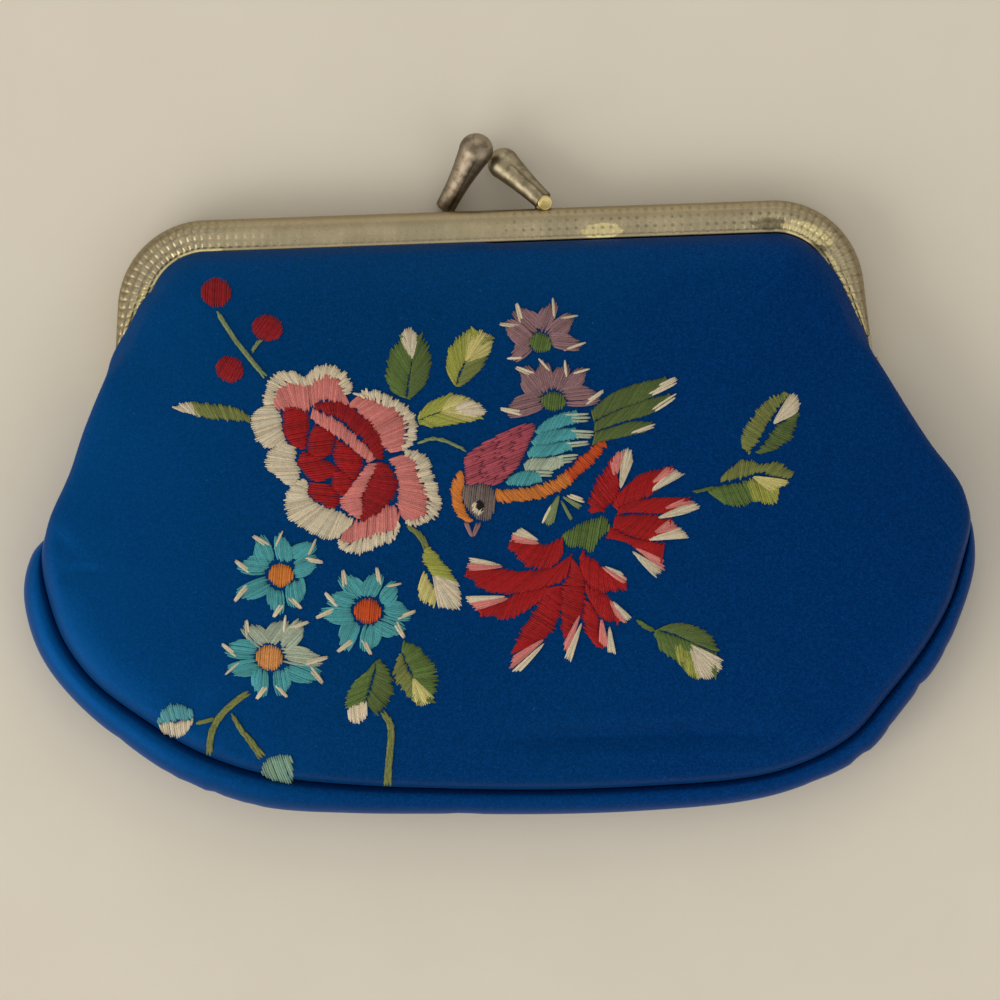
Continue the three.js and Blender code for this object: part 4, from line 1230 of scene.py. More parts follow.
# Berries: three round red berries of satin stitch on a sage stem, and a long leaf with a cream tip.
berries = Needlework("berry_sprig", 11)
berries.stem("sage", [(-35.8, 22.6), (-34.8, 20.8), (-33.3, 18.4), (-31.2, 15.6), (-29.6, 13.6)], 0.55, 0.8)
berries.stem("sage", [(-29.9, 18.7), (-30.9, 18.2), (-31.4, 16.9)], 0.35)
berries.disc("berry", (-35.8, 25.0), 1.95, 2.1, 86)
berries.disc("berry", (-29.2, 20.1), 2.05, 1.8, 52)
berries.disc("berry", (-34.3, 14.9), 1.85, 1.8, 58)
berries.rails("olive", [(-39.4, 10.8), (-36, 10.4), (-33.4, 9.7), (-31.9, 8.6)],
              [(-38.8, 8.85), (-36.6, 8.4), (-34, 8.0), (-32.0, 7.9)], lean=0.12)
berries.rails("cream", [(-41.9, 10.2), (-41.2, 10.6), (-40.4, 10.8), (-39.5, 10.8)],
              [(-40.9, 9.7), (-40.2, 9.4), (-39.4, 9.1), (-38.4, 8.8)], lean=0.12)
berries.sew()

# Peony: an open head of cream-edged pink petals round a heart of red and crimson ones.
peony = Needlework("peony", 12)
PEONY_PETALS = [
    # outer edge, where cream gives way to pink, inner edge
    ([(-30.2, 10.0), (-29.9, 11.9), (-28.8, 13.8), (-26.6, 14.3), (-24.6, 13.6)],
     [(-28.7, 10.1), (-28.1, 11.9), (-26.9, 12.8), (-25.2, 12.6), (-24.2, 12.2)],
     [(-28.4, 9.8), (-27.7, 9.6), (-26.4, 9.8), (-25.0, 9.4), (-24.1, 9.5)]),
    ([(-24.5, 13.8), (-22.3, 14.9), (-20.4, 14.6), (-18.8, 13.1), (-18.4, 11.2)],
     [(-24.1, 12.2), (-22.4, 13.3), (-20.9, 13.3), (-19.8, 12.3), (-19.6, 11.0)],
     [(-23.9, 9.6), (-22.8, 10.5), (-21.4, 10.5), (-20.0, 10.1), (-18.9, 9.9)]),
    ([(-18.4, 11.1), (-15.6, 11.5), (-13.2, 10.3), (-10.8, 8.6), (-10.1, 5.6), (-11.6, 3.4)],
     [(-17.6, 10.9), (-15.2, 9.9), (-12.9, 8.9), (-11.6, 7.2), (-11.8, 4.9), (-12.4, 3.5)],
     [(-18.9, 9.8), (-17.6, 9.0), (-16.2, 7.3), (-15.1, 5.1), (-14.2, 4.0), (-13.6, 3.3)]),
    ([(-11.6, 3.6), (-9.3, 2.8), (-8.3, 0.3), (-7.5, -2.6), (-7.7, -4.8), (-9.8, -6.3), (-12.1, -6.1)],
     [(-12.1, 2.9), (-10.7, 2.2), (-10.1, -0.2), (-9.2, -2.6), (-9.1, -4.2), (-10.3, -5.5), (-12.0, -5.7)],
     [(-13.8, 2.4), (-12.9, 1.3), (-12.6, -0.5), (-12.8, -2.2), (-12.8, -3.6), (-12.5, -4.7),
      (-12.3, -5.2)]),
    ([(-12.8, -6.2), (-13.6, -7.9), (-15.6, -8.9), (-18.4, -9.8), (-20.7, -8.9), (-20.9, -7.8)],
     [(-13.1, -5.6), (-13.7, -7.1), (-15.9, -7.2), (-17.9, -7.9), (-19.4, -8.5), (-20.6, -7.8)],
     [(-12.9, -5.2), (-13.9, -3.7), (-15.6, -4.7), (-18.4, -5.8), (-19.6, -6.4), (-20.2, -7.1)]),
]
for outer, border, inner in PEONY_PETALS:
    peony.rails("pink", border, inner, ragged=0.4, far_ragged=0.3, grow=0.45)
    peony.rails("cream", outer, border, ragged=0.26, far_ragged=0.5, grow=0.12, lift=0.04)
peony.rails("cream",
            [(-25.0, 0.1), (-26.6, -0.2), (-27.7, -2.4), (-27.2, -5.0), (-24.6, -6.8), (-21.6, -7.9),
             (-19.4, -6.3)],
            [(-24.8, -0.1), (-24.7, -0.9), (-24.6, -2.0), (-23.6, -2.8), (-22.2, -3.5), (-20.8, -4.1),
             (-18.9, -5.2)], grow=0.1)
peony.rails("cream", [(-27.9, 5.2), (-29.7, 4.0), (-30.1, 2.2), (-28.8, 0.8), (-27.3, -0.4)],
            [(-26.0, 4.4), (-26.1, 3.0), (-25.7, 2.0), (-25.6, 0.9), (-26.0, -0.4)], grow=0.1)
peony.rails("cream", [(-30.0, 9.9), (-31.6, 8.9), (-31.6, 6.4), (-30.2, 4.6), (-27.8, 4.6)],
            [(-28.6, 9.9), (-27.8, 8.6), (-27.7, 6.8), (-27.6, 5.8), (-27.3, 4.9)], grow=0.12)
HEART = [
    # outline and the stitches' angle of each red petal
    ([(-27.5, 9.3), (-25.4, 9.6), (-24.0, 8.3), (-24.4, 6.0), (-24.9, 4.2), (-26.7, 4.8), (-27.7, 6.6)], 8),
    ([(-23.5, 7.3), (-21.4, 6.3), (-20.7, 5.2), (-21.4, 3.4), (-23.2, 2.8), (-24.7, 3.9), (-24.2, 6.0)], 4),
    ([(-20.7, 5.2), (-18.5, 3.9), (-17.2, 2.3), (-18.4, 0.0), (-19.9, 0.8), (-21.3, 2.8)], -6),
    ([(-25.2, 3.8), (-22.5, 2.8), (-20.3, 1.3), (-22.3, 0.0), (-24.2, 0.0), (-25.9, 2.2)], 6),
    ([(-21.5, 1.0), (-19.8, 0.9), (-18.5, -0.3), (-19.9, -2.1), (-21.5, -1.2)], 2),
    ([(-24.7, -0.3), (-21.7, -0.7), (-20.3, -2.4), (-21.3, -3.7), (-23.5, -2.8), (-24.7, -1.8)], -8),
]
for outline, angle in HEART:
    peony.fill("red", outline, angle)
peony.rails("pink", [(-23.6, 9.2), (-21.4, 8.3), (-19.0, 6.4), (-16.9, 4.2), (-15.7, 2.5)],
            [(-24.0, 8.1), (-21.9, 6.5), (-19.4, 4.7), (-17.6, 3.0), (-16.6, 2.2)], lean=0.1, lift=0.04,
            grow=0.12)
peony.rails("crimson",
            [(-23.4, 9.9), (-21.4, 10.2), (-18.4, 9.2), (-16.1, 7.1), (-14.8, 4.6), (-15.0, 2.4)],
            [(-23.2, 9.3), (-21.0, 8.6), (-18.8, 6.8), (-17.2, 5.2), (-16.4, 3.9), (-15.7, 2.7)],
            lean=0.05, ragged=0.3, grow=0.3)
peony.rails("crimson",
            [(-15.2, 2.1), (-13.5, 0.8), (-13.2, -1.4), (-14.4, -3.5), (-16.2, -4.9), (-17.6, -5.4)],
            [(-15.4, 1.9), (-16.1, 0.5), (-17.0, -1.1), (-17.6, -2.6), (-17.5, -4.0), (-17.9, -5.0)],
            lean=-0.04, ragged=0.3, grow=0.3)
peony.rails("pink",
            [(-15.5, 1.9), (-16.1, 0.5), (-17.0, -1.1), (-17.6, -2.6), (-17.4, -3.8), (-17.9, -5.1)],
            [(-16.8, 1.9), (-18.0, 0.2), (-19.7, -1.6), (-20.5, -2.9), (-19.9, -4.2), (-18.4, -5.1)],
            lift=0.04, grow=0.1)
peony.sew()

# Leaves: each is worked from a bare midrib outwards in two shades, with the tip in cream or yellow.
leaves = Needlework("leaves", 13)


def leaf(silks, midrib, left, right, lean=0.42, gap=0.06):
    """Two lobes of slanting stitches from the midrib to each edge, all given from the base to the tip."""
    for silk, edge in zip(silks, (left, right)):
        leaves.rails(silk, midrib, edge, lean=lean, gap=gap, ragged=0.14, far_ragged=0.34, grow=0.05)


leaf(("leaf", "dark_leaf"),
     [(-11.35, 10.3), (-11.1, 12.0), (-10.6, 14.2), (-10.3, 16.2), (-10.4, 17.8)],
     [(-12.0, 10.5), (-13.6, 11.8), (-14.0, 14.0), (-13.3, 16.4), (-11.9, 18.4)],
     [(-11.1, 10.1), (-8.9, 12.1), (-8.05, 14.4), (-8.2, 16.8), (-9.1, 18.6)])
leaves.fan("cream", (-10.6, 15.2), [(-12.0, 18.2), (-11.3, 19.4), (-10.3, 19.4), (-9.5, 18.2)], lift=0.05)
leaf(("yellow_green", "olive"),
     [(-4.9, 11.7), (-4.3, 13.4), (-3.3, 15.2), (-2.2, 16.8), (-1.2, 18.0)],
     [(-5.1, 12.1), (-6.1, 14.2), (-5.6, 16.7), (-4.3, 18.3), (-2.5, 19.1)],
     [(-4.3, 11.6), (-2.3, 13.0), (-0.8, 14.9), (-0.2, 16.6), (0.1, 17.7)])
leaves.fan("straw", (-3.6, 14.6), [(-3.0, 19.1), (-1.2, 18.9), (0.0, 18.2), (0.2, 16.9), (-0.4, 15.6)],
           lift=0.05)
leaf(("yellow_green", "yellow_green"),
     [(-9.9, 7.35), (-8.6, 7.9), (-7.0, 8.4), (-5.2, 8.6), (-3.0, 8.5)],
     [(-9.9, 8.0), (-8.6, 9.4), (-6.6, 10.4), (-4.4, 10.7), (-2.0, 9.3)],
     [(-9.8, 6.9), (-8.2, 6.4), (-6.0, 6.6), (-3.8, 6.8), (-1.6, 7.3)])
leaves.fan("straw", (-7.2, 8.4), [(-5.2, 10.6), (-3.4, 10.2), (-2.2, 9.2), (-1.6, 7.6), (-3.0, 6.9)], 0.5,
           lift=0.05)
leaves.fan("cream", (-5.6, 8.5), [(-3.2, 9.9), (-1.6, 9.0), (-0.9, 8.2), (-1.9, 7.4)], 0.4, lift=0.12)
leaves.stem("sage", [(-10.2, 4.2), (-8.9, 4.9), (-7.4, 4.9), (-5.6, 4.1), (-3.7, 3.1)], 0.45)
leaves.rails("olive", [(33.3, 2.0), (34.2, 2.7), (35.0, 3.9), (35.7, 5.2), (37.0, 7.0), (38.5, 9.0)],
             [(33.0, 1.3), (32.0, 2.8), (32.1, 4.5), (33.6, 6.4), (35.2, 8.4), (37.8, 9.35)], lean=0.12,
             gap=0.1)
leaves.rails("dark_leaf", [(33.9, 1.7), (35.0, 3.1), (36.1, 4.7), (37.4, 5.6), (39.2, 6.2)],
             [(34.6, 1.4), (37.2, 2.2), (38.8, 3.4), (39.4, 5.0), (39.8, 6.6)], lean=0.08, gap=0.1)
leaves.fan("cream", (36.2, 5.2), [(38.7, 9.3), (39.7, 9.0), (40.0, 8.1), (39.9, 7.2), (39.0, 6.4)], 0.5,
           lift=0.05)
leaves.rails("olive", [(29.2, -2.1), (31.0, -2.0), (32.8, -1.6), (34.0, -1.0), (36.0, -1.6), (38.2, -2.0)],
             [(29.0, -1.9), (30.6, -0.2), (32.5, 0.9), (34.6, 0.1), (36.9, 0.3), (38.7, -1.1)], lean=0.1,
             gap=0.08)
leaves.rails("leaf", [(27.4, -2.9), (29.0, -2.4), (31.0, -2.2), (32.4, -1.9)],
             [(28.1, -3.8), (29.6, -5.0), (31.6, -5.5), (33.4, -4.9)], lean=0.1, gap=0.08)
leaves.rails("yellow_green", [(32.4, -2.0), (33.6, -1.5), (35.2, -2.0), (36.6, -2.6)],
             [(33.4, -4.9), (34.8, -5.2), (36.2, -5.2), (36.6, -4.0)], lean=0.02, gap=0.05)
leaves.fan("straw", (33.2, -1.5), [(38.3, -2.2), (37.6, -2.8), (36.8, -3.4), (36.5, -4.2)], 0.4, lift=0.06)
leaves.stem("leaf", [(25.4, -3.3), (26.6, -3.1), (28.6, -2.7)], 0.5)
leaf(("leaf", "dark_leaf"),
     [(20.4, -21.0), (22.4, -21.7), (24.4, -22.6), (26.4, -23.5), (27.8, -24.1)],
     [(19.8, -21.2), (20.6, -23.8), (22.7, -25.3), (24.8, -27.5), (27.6, -27.6)],
     [(20.8, -20.8), (22.8, -20.3), (25.6, -20.9), (27.4, -22.2), (28.1, -23.9)])
leaves.rails("yellow_green", [(22.4, -22.3), (23.8, -23.0), (25.2, -23.9)],
             [(22.8, -25.4), (24.0, -27.0), (25.4, -27.8)], lean=0.05, lift=0.04)
leaves.fan("cream", (24.2, -22.9), [(25.2, -27.6), (26.8, -27.9), (28.3, -27.0), (28.7, -25.2)], 0.4,
           lift=0.07)
leaves.stem("leaf", [(17.5, -19.6), (18.4, -20.5), (20.0, -21.2)], 0.6)
leaves.stem("olive", [(-12.0, -6.3), (-10.6, -7.2), (-9.8, -8.4), (-9.3, -9.6)], 0.5, 1.1)
leaves.rails("yellow_green", [(-9.9, -9.6), (-10.0, -11.0), (-9.3, -12.2), (-8.4, -13.2)],
             [(-9.0, -9.2), (-7.6, -10.7), (-6.3, -12.4), (-5.5, -14.0)], lean=0.1)
leaves.fan("cream", (-8.8, -12.6),
           [(-5.4, -14.0), (-5.1, -15.6), (-5.2, -17.4), (-6.8, -17.5), (-8.2, -17.4)], 0.5, lift=0.03)
leaves.rails("straw", [(-9.9, -12.2), (-9.4, -13.0), (-8.9, -13.9), (-8.2, -15.0)],
             [(-10.7, -14.6), (-10.6, -16.0), (-9.6, -16.7), (-8.7, -17.2)], lean=0.0)
leaf(("leaf", "olive"),
     [(-13.1, -23.0), (-12.4, -24.8), (-11.6, -26.6), (-10.9, -28.2), (-10.4, -29.2)],
     [(-12.9, -21.3), (-10.4, -22.5), (-8.9, -24.6), (-8.7, -27.4), (-9.2, -29.4)],
     [(-13.5, -23.0), (-14.3, -25.6), (-13.6, -27.4), (-12.4, -29.0), (-11.4, -29.7)], lean=0.16)
leaves.fan("straw", (-11.8, -26.0), [(-12.0, -29.3), (-11.0, -29.9), (-9.6, -29.7), (-8.9, -29.0)], 0.3,
           lift=0.05)
leaf(("dark_leaf", "leaf"),
     [(-16.7, -24.0), (-17.0, -26.0), (-17.6, -27.8), (-18.0, -29.2)],
     [(-15.9, -23.4), (-14.5, -26.0), (-14.7, -29.0), (-16.6, -30.8)],
     [(-17.2, -25.8), (-19.0, -26.1), (-20.5, -27.8), (-20.8, -29.8)], lean=0.15)
leaves.rails("cream", [(-20.5, -30.0), (-19.6, -28.9), (-18.6, -28.7), (-17.9, -29.2)],
             [(-20.4, -31.2), (-19.6, -32.0), (-18.8, -31.8), (-17.9, -31.0)], lift=0.04)
leaves.sew()

# Lilac flowers: two small asters, one above the other, whose petals have a cream thread along one side.
lilacs = Needlework("lilac_flowers", 14)
LILAC_PETALS = [
    # base, tip, width, the side of its cream thread
    ((5.2, 17.3), (0.9, 19.3), 2.2, -1), ((5.1, 16.6), (1.7, 15.3), 1.9, 1),
    ((5.9, 18.4), (3.6, 22.4), 2.3, 1), ((6.7, 18.4), (7.8, 22.9), 1.9, -1),
    ((7.5, 18.0), (11.6, 20.0), 2.0, 1), ((7.7, 16.9), (12.3, 17.1), 2.0, -1),
    ((6.2, 9.0), (0.7, 8.8), 2.4, 1), ((6.3, 10.3), (2.7, 13.6), 2.4, -1),
    ((7.2, 10.7), (5.6, 14.8), 2.0, -1), ((8.2, 10.8), (9.1, 14.7), 1.9, -1),
    ((9.0, 10.5), (12.9, 13.0), 2.0, 1), ((9.2, 9.3), (14.3, 10.7), 2.5, -1),
]
for base, tip, width, edge_side in LILAC_PETALS:
    lilacs.petal("lilac", "cream", base, tip, width, edge_side)
lilacs.disc("leaf", (6.35, 16.9), 1.4, 1.4, 75)
lilacs.disc("leaf", (7.75, 9.2), 1.6, 1.3, 82)
lilacs.sew()

# Bird: it hangs head down on the spray, rose back, teal wing, orange breast and a dark green tail.
bird = Needlework("bird", 15)
bird.fill("grey",
          [(-4.2, -1.3), (-2.0, -1.0), (-0.5, -1.7), (-0.3, -3.8), (-1.0, -5.9), (-2.4, -6.1),
           (-4.0, -4.5), (-4.5, -2.8)], 82)
bird.disc("cream", (-2.55, -4.3), 0.8, 0.95, 60, lift=0.05)
bird.disc("black", (-2.3, -4.1), 0.62, 0.75, 30, lift=0.16)
BEAK = [
    # start, end and width of each stitch
    ((-4.4, -6.1), (-3.5, -8.1), 0.4), ((-4.1, -6.0), (-3.4, -8.2), 0.36),
    ((-2.3, -6.2), (-3.3, -8.1), 0.4), ((-2.7, -6.2), (-3.4, -8.0), 0.36),
]
for start, end, width in BEAK:
    bird.stitch(start, end, "lilac", width)
bird.rails("orange", [(-4.8, 0.6), (-5.9, -1.0), (-6.1, -3.2), (-5.3, -5.2), (-3.9, -6.2)],
           [(-4.4, 0.1), (-4.3, -1.4), (-4.5, -3.2), (-4.1, -4.8), (-3.4, -5.9)], lean=0.22)
bird.fill("rose", [(-4.3, 2.0), (-3.0, 3.2), (0.0, 4.9), (3.3, 6.2), (5.3, 6.2), (4.0, 3.0),
                   (2.5, 0.5), (-0.2, -1.4), (-2.6, -1.1), (-4.0, -1.2)], 20, longest=3.0)
WING_FEATHERS = [
    # upper edge, lower edge, silk
    ([(5.2, 5.3), (6.8, 6.8), (8.8, 7.6), (10.6, 7.9)],
     [(5.8, 5.0), (7.4, 5.4), (9.4, 6.0), (11.2, 6.4)], "teal"),
    ([(4.7, 3.9), (6.0, 5.2), (8.0, 5.6), (10.4, 5.6)],
     [(5.2, 3.5), (6.6, 3.6), (8.6, 4.0), (10.9, 4.2)], "teal"),
    ([(4.1, 2.6), (5.2, 3.5), (7.4, 3.7), (9.6, 4.0)],
     [(4.4, 2.1), (6.0, 2.0), (8.0, 2.3), (10.0, 2.8)], "teal"),
    ([(3.6, 1.0), (4.6, 1.9), (6.6, 1.9), (8.6, 2.1)],
     [(3.9, 0.4), (5.2, 0.2), (7.0, 0.1), (8.8, 0.8)], "pale_teal"),
    ([(1.1, -1.1), (2.2, -0.2), (4.0, 0.3), (5.4, 0.2)],
     [(1.6, -1.5), (3.2, -1.7), (4.8, -1.5), (6.0, -1.2)], "teal"),
]
for upper, lower, silk in WING_FEATHERS:
    bird.rails(silk, upper, lower, lean=-0.4, ragged=0.12, grow=0.12)
WING_TIPS = [
    # start and end of each stitch
    ((8.8, 7.4), (12.4, 7.4)), ((9.4, 7.0), (12.6, 6.9)), ((9.8, 6.6), (12.3, 6.5)),
    ((9.4, 5.3), (13.0, 5.0)), ((9.9, 4.9), (13.0, 4.6)), ((10.2, 4.5), (12.6, 4.3)),
    ((8.8, 3.6), (12.2, 3.8)), ((9.2, 3.2), (12.3, 3.5)), ((7.8, 1.9), (10.8, 2.1)),
    ((8.0, 1.5), (10.6, 1.7)), ((8.2, 1.1), (10.0, 1.3)), ((5.0, 0.1), (7.5, -0.1)),
    ((5.2, -0.4), (7.3, -0.5)),
]
for start, end in WING_TIPS:
    bird.stitch(start, end, "pale_teal", lift=0.08)
bird.rails("orange", [(-0.2, -2.0), (3.5, -1.9), (7.0, -1.1), (9.2, 0.4)],
           [(0.0, -3.8), (3.4, -3.7), (6.8, -3.2), (9.6, -1.8)], lean=0.14)
bird.rails("fire", [(9.0, 0.2), (11.0, 1.9), (13.0, 3.5), (14.2, 3.9)],
           [(9.4, -1.9), (11.2, -0.4), (13.0, 1.2), (14.4, 3.0)], lean=0.14)
TAIL_FEATHERS = [
    # upper edge, lower edge
    ([(12.6, 7.8), (15.4, 9.9), (18.6, 11.1), (22.4, 11.8)],
     [(13.0, 6.5), (16.4, 7.9), (20.0, 9.1), (23.2, 10.7)]),
    ([(13.0, 6.3), (16.6, 7.9), (20.0, 9.0), (22.8, 9.6)],
     [(13.0, 5.1), (16.6, 6.2), (20.2, 7.1), (23.3, 8.8)]),
    ([(13.0, 4.9), (15.6, 5.6), (18.2, 6.2), (20.4, 6.0)],
     [(12.7, 3.4), (15.2, 4.0), (17.8, 4.5), (19.6, 4.9)]),
]
for upper, lower in TAIL_FEATHERS:
    bird.rails("dark_leaf", upper, lower, lean=-0.3, ragged=0.12, grow=0.15)
TAIL_TIPS = [
    # start and end of each stitch
    ((19.6, 9.5), (24.1, 11.5)), ((20.4, 9.5), (24.0, 11.1)), ((21.2, 10.6), (23.8, 11.8)),
    ((20.0, 7.3), (23.9, 9.7)), ((20.8, 7.4), (23.7, 9.2)), ((17.4, 4.6), (21.0, 5.8)),
    ((18.2, 4.7), (20.8, 5.4)), ((20.6, 9.9), (24.0, 11.7)),
]
for start, end in TAIL_TIPS:
    bird.stitch(start, end, "cream", lift=0.1)
bird.fan("sage", (8.1, -2.9), [(5.9, -5.9), (6.3, -7.0), (7.2, -6.9)], 0.2)
bird.fan("sage", (8.4, -3.2), [(10.5, -5.0), (11.2, -4.6)], 0.2)
bird.fan("sage", (8.2, -3.6), [(9.4, -6.5), (9.8, -6.3)], 0.2)
for start, end in [((7.1, -4.2), (5.7, -6.7)), ((9.0, -3.1), (11.4, -4.1)), ((9.4, -3.0), (11.2, -3.7))]:
    bird.stitch(start, end, "cream", 0.4, 0.05)
bird.sew()

# Red flowers: two spiky heads that share one green calyx, red with pink and cream petal tips.
reds = Needlework("red_flowers", 16)
UPPER_HEAD = [
    # a petal's two edges, and the lead of the second
    ([(12.2, -5.6), (12.2, -3.4), (13.4, -0.9), (15.1, 1.2)],
     [(13.6, -5.2), (15.4, -3.6), (15.8, -1.8), (15.2, 0.4)], 0.06),
    ([(15.0, -4.7), (16.2, -2.8), (19.0, -0.7), (22.7, 0.0)],
     [(15.6, -5.0), (17.6, -4.2), (19.8, -3.4), (22.4, -1.6)], 0.04),
    ([(15.8, -5.0), (18.4, -4.1), (21.6, -4.0), (24.8, -4.1)],
     [(15.8, -5.6), (18.4, -5.6), (21.0, -5.9), (24.0, -5.7)], 0.02),
    ([(15.2, -6.2), (18.0, -6.0), (20.6, -6.2), (22.4, -6.8)],
     [(15.0, -7.6), (17.6, -8.8), (19.8, -9.3), (22.6, -8.8)], 0.0),
    ([(14.6, -7.4), (17.2, -9.0), (19.4, -9.5), (21.4, -10.0)],
     [(14.3, -8.7), (16.6, -9.5), (18.6, -10.8), (21.0, -12.8)], 0.0),
]
for first, second, lead in UPPER_HEAD:
    reds.rails("red", first, second, lean=lead - 0.35, grow=0.3, ragged=0.26)
RED_TIPS = [
    # silk, the point that its stitches spread from, and the edge that they reach
    ("pink", (15.4, -1.2), [(15.0, 1.4), (15.8, 2.3), (16.6, 2.5)]),
    ("cream", (16.0, -2.6), [(16.6, 2.6), (17.6, 2.7), (17.8, 1.4)]),
    ("pink", (19.8, -2.2), [(22.6, 0.2), (23.4, -0.2)]),
    ("cream", (19.6, -3.2), [(23.4, -0.2), (24.4, -0.7)]),
    ("pink", (21.0, -5.4), [(24.9, -4.1), (25.6, -4.5)]),
    ("cream", (20.6, -6.5), [(25.8, -4.6), (26.6, -5.2), (25.0, -5.8)]),
    ("pink", (19.8, -8.6), [(22.6, -6.8), (23.6, -7.7)]),
    ("cream", (19.2, -9.3), [(24.0, -8.0), (24.9, -9.0)]),
    ("pink", (17.6, -10.2), [(21.4, -12.2), (21.5, -13.2)]),
    ("cream", (17.2, -10.6), [(21.2, -13.4), (20.5, -14.1)]),
    ("pink", (5.4, -9.3), [(1.4, -8.6), (1.6, -8.0)]),
    ("cream", (5.2, -8.9), [(1.7, -7.8), (2.7, -7.2)]),
    ("pink", (0.6, -12.1), [(-4.4, -12.3), (-4.4, -11.7)]),
    ("cream", (0.3, -11.9), [(-4.1, -11.5), (-4.0, -11.0)]),
    ("pink", (1.2, -16.2), [(-3.6, -17.5), (-4.1, -16.8)]),
    ("cream", (0.8, -16.0), [(-4.4, -16.5), (-4.8, -16.0)]),
    ("pink", (5.6, -21.6), [(1.0, -24.2), (0.8, -25.4)]),
    ("cream", (5.5, -22.2), [(1.2, -25.9), (2.0, -25.8)]),
    ("pink", (10.3, -18.5), [(7.9, -22.9), (8.2, -23.7)]),
    ("cream", (10.5, -19.6), [(8.1, -24.6), (8.6, -24.8)]),
    ("pink", (13.0, -19.2), [(12.8, -23.1), (13.6, -23.2)]),
    ("cream", (14.0, -20.3), [(13.9, -24.0), (14.5, -24.1)]),
    ("pink", (14.1, -16.8), [(15.5, -19.9), (16.1, -20.0)]),
    ("cream", (14.4, -17.0), [(16.2, -20.0), (16.8, -19.5)]),
    ("pink", (13.2, -12.5), [(16.5, -15.0), (16.6, -14.5)]),
    ("cream", (13.6, -12.5), [(16.5, -14.4), (16.0, -13.6)]),
]
for silk, apex, edge in RED_TIPS:
    reds.fan(silk, apex, edge, 0.3, pitch=0.26, lift=0.06, spread=0.3)
LOWER_HEAD = [
    ([(8.2, -8.8), (6.2, -9.4), (3.6, -9.0), (1.4, -8.9)],
     [(8.3, -10.6), (6.6, -12.4), (3.6, -12.0), (1.4, -9.6)], 0.05),
    ([(9.3, -11.0), (6.4, -12.6), (2.2, -12.7), (-1.4, -12.3), (-4.3, -12.5)],
     [(8.6, -13.9), (5.8, -14.9), (1.6, -15.6), (-2.2, -14.9), (-4.3, -13.0)], 0.03),
    ([(5.8, -15.1), (3.0, -15.4), (0.2, -16.7), (-3.0, -17.7)],
     [(6.0, -15.9), (3.6, -17.6), (0.8, -18.8), (-2.5, -18.1)], 0.04),
    ([(5.6, -15.2), (4.6, -17.6), (2.8, -20.4), (1.0, -23.6)],
     [(8.0, -14.8), (7.7, -17.6), (6.6, -20.6), (4.0, -22.3)], 0.04),
    ([(8.0, -15.0), (7.8, -17.4), (7.9, -19.6), (8.0, -21.8)],
     [(10.8, -14.9), (10.9, -17.0), (10.0, -18.9), (8.8, -20.7)], 0.05),
    ([(11.0, -17.0), (10.8, -19.0), (11.0, -21.0), (12.5, -23.0)],
     [(11.6, -17.2), (12.4, -19.2), (12.5, -21.2), (12.9, -23.0)], 0.0),
    ([(11.2, -15.0), (13.2, -15.9), (14.5, -17.5), (15.2, -19.5)],
     [(11.2, -15.8), (12.2, -18.0), (13.6, -19.4), (15.1, -19.8)], 0.03),
    ([(10.9, -10.7), (12.8, -12.3), (14.6, -13.9), (16.4, -15.0)],
     [(10.5, -11.2), (10.9, -14.1), (13.0, -15.8), (16.2, -15.4)], 0.05),
    ([(9.4, -11.4), (9.2, -12.8), (8.8, -13.8), (8.1, -14.7)],
     [(10.2, -12.6), (10.6, -13.4), (10.8, -14.1), (10.9, -14.9)], 0.0),
]
for first, second, lead in LOWER_HEAD:
    reds.rails("red", first, second, lean=lead + 0.2, grow=0.3, ragged=0.26)
reds.fill("leaf", [(8.3, -8.2), (10.0, -7.1), (12.4, -6.1), (14.0, -6.0), (14.4, -7.8),
                   (13.0, -9.2), (12.0, -10.8), (10.8, -10.1), (8.9, -9.7)], 78)
reds.sew()

# Daisies: three teal-petalled flowers with orange hearts.
daisies = Needlework("daisies", 17)
DAISIES = [
    # heart, its radius and silk, and each petal's base, tip and width
    ((-28.5, -12.2), 1.6, "orange", [
        ((-28.3, -10.3), (-27.7, -6.4), 2.0), ((-26.9, -10.3), (-24.0, -7.3), 2.0),
        ((-26.8, -11.3), (-22.9, -11.0), 2.1), ((-27.1, -13.2), (-25.7, -16.6), 2.5),
        ((-29.0, -14.1), (-30.0, -17.6), 2.1), ((-30.3, -12.9), (-34.6, -15.7), 2.1),
        ((-30.3, -11.3), (-34.4, -9.8), 2.2), ((-29.9, -10.3), (-32.3, -7.1), 2.3)]),
    ((-17.4, -17.3), 1.75, "fire", [
        ((-18.5, -15.4), (-20.2, -11.6), 2.2), ((-17.0, -15.3), (-16.3, -11.5), 2.1),
        ((-15.6, -15.9), (-12.6, -14.1), 2.0), ((-15.3, -17.3), (-11.1, -17.2), 2.2),
        ((-15.9, -18.5), (-12.9, -21.2), 2.4), ((-17.1, -19.1), (-16.8, -23.0), 2.5),
        ((-18.9, -18.7), (-21.8, -22.3), 2.2), ((-19.4, -17.6), (-24.2, -18.2), 2.1),
        ((-19.3, -16.4), (-22.8, -14.4), 2.1)]),
    ((-30.4, -22.9), 1.75, "apricot", [
        ((-31.3, -21.2), (-33.0, -17.7), 2.3), ((-30.2, -21.0), (-28.4, -17.2), 2.0),
        ((-28.8, -21.2), (-24.9, -18.6), 2.2), ((-28.5, -22.8), (-22.7, -22.8), 2.1),
        ((-27.9, -23.9), (-23.7, -26.8), 2.4), ((-29.3, -24.6), (-28.0, -28.1), 2.1),
        ((-31.3, -24.5), (-32.6, -28.2), 2.1), ((-32.1, -23.6), (-36.2, -25.3), 2.0),
        ((-32.3, -22.2), (-36.5, -20.6), 2.3)]),
]
PALE_PETALS = 4
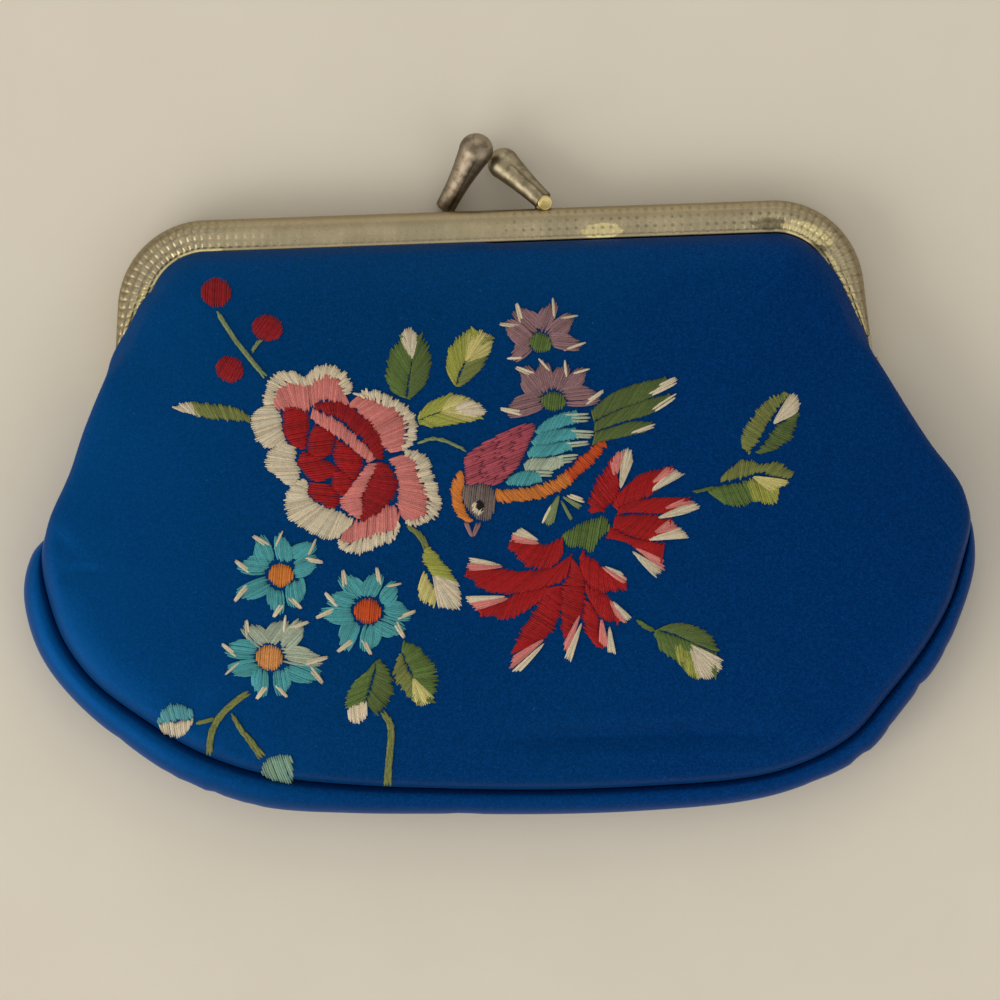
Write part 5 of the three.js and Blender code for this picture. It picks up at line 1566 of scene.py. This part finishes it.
for heart, radius, silk, petals in DAISIES:
    for i, (base, tip, width) in enumerate(petals):
        pale = silk == "apricot" and i < PALE_PETALS
        daisies.petal("pale_teal" if pale else "teal", "cream", base, tip, width, -1 if i % 2 else 1)
    daisies.disc(silk, heart, radius, radius, 84)
daisies.sew()

# Stems and buds at the lower edge: they run down to the seam, and the two buds lie across it.
stems = Needlework("stems_and_buds", 18)
stems.stem("olive", [(-33.2, -27.2), (-35.6, -28.9), (-37.4, -30.6), (-38.5, -32.8), (-38.8, -35.6)], 0.9)
stems.stem("olive", [(-37.6, -30.6), (-39.0, -30.9), (-40.4, -31.2)], 0.55)
stems.stem("olive", [(-35.7, -29.9), (-34.6, -32.0), (-33.2, -33.9), (-31.8, -36.0)], 0.5, 1.2)
stems.stem("olive", [(-16.1, -30.4), (-15.0, -31.6), (-14.9, -33.6), (-15.3, -36.6), (-15.7, -40.4)], 0.9,
           1.1)
stems.rails("bud_teal", [(-45.4, -30.6), (-44.4, -28.8), (-42.6, -28.4), (-40.8, -29.4)],
            [(-45.2, -31.2), (-44.0, -31.0), (-42.2, -30.8), (-40.6, -30.6)])
stems.rails("cream", [(-45.3, -31.1), (-44.0, -30.8), (-42.2, -30.6), (-40.6, -30.5)],
            [(-44.9, -32.3), (-43.8, -33.0), (-42.2, -32.8), (-41.0, -31.5)])
stems.fill("bud_green",
           [(-31.9, -36.8), (-30.4, -35.6), (-28.2, -35.8), (-27.9, -37.4), (-28.1, -39.4), (-30.0, -39.3),
            (-31.9, -38.3)], 108)
stems.sew()

# Setting: a plain pale floor, wide soft lights all round, the strongest at the lower left, and a pale
# sky. The camera looks straight down and is rolled by two degrees.
floor_finish = Finish("pale_floor", Roughness=0.75, Specular_IOR_Level=0.25)
grain = floor_finish.noise(floor_finish.millimetres(), 0.05, 4.0, 0.6)
floor_finish.feed(Base_Color=floor_finish.mix(grain, colour(223, 216, 202), colour(231, 224, 211)))
FLOOR_SIZE = 4.0
bpy.ops.mesh.primitive_plane_add(size=FLOOR_SIZE)
floor = bpy.context.object
floor.name = "floor"
floor.data.materials.append(floor_finish.material)


def area_light(name, place, size, power, tint):
    data = bpy.data.lights.new(name, "AREA")
    data.size, data.energy, data.color = size, power, tint
    light = bpy.data.objects.new(name, data)
    light.location = place
    light.rotation_euler = (-Vector(place)).to_track_quat("-Z", "Y").to_euler()
    bpy.context.scene.collection.objects.link(light)


LIGHTS = [
    # name, place, power
    ("west", (-1.3, -0.3, 0.5), 5.0), ("south_west", (-1.0, -0.85, 0.75), 7.0),
    ("south_east", (0.9, -0.9, 0.8), 2.2), ("north", (0.1, 1.3, 0.8), 2.0),
]
LIGHT_SIZE = 1.1
LIGHT_TINT = (1.0, 0.96, 0.89)
SKY_TINT = (1.0, 0.96, 0.88, 1.0)
SKY_STRENGTH = 0.54
for name, place, power in LIGHTS:
    area_light(name, place, LIGHT_SIZE, power, LIGHT_TINT)
world = bpy.data.worlds.new("pale_room")
world.use_nodes = True
sky = world.node_tree.nodes["Background"]
sky.inputs["Color"].default_value = SKY_TINT
sky.inputs["Strength"].default_value = SKY_STRENGTH
bpy.context.scene.world = world
bpy.context.scene.view_settings.view_transform = "Standard"

VIEW_WIDTH = 0.131
VIEW_LEVEL = 0.008
CAMERA_PLACE = (0.00033, -0.00341, 1.2)
CAMERA_ROLL = math.radians(-2)
SENSOR_WIDTH = 36
NEAREST_SEEN = 0.05
camera = bpy.data.objects.new("camera", bpy.data.cameras.new("camera"))
camera.location = CAMERA_PLACE
camera.rotation_euler = (0, 0, CAMERA_ROLL)
camera.data.sensor_width = SENSOR_WIDTH
camera.data.lens = SENSOR_WIDTH * (CAMERA_PLACE[2] - VIEW_LEVEL) / VIEW_WIDTH
camera.data.clip_start = NEAREST_SEEN
bpy.context.scene.collection.objects.link(camera)
bpy.context.scene.camera = camera
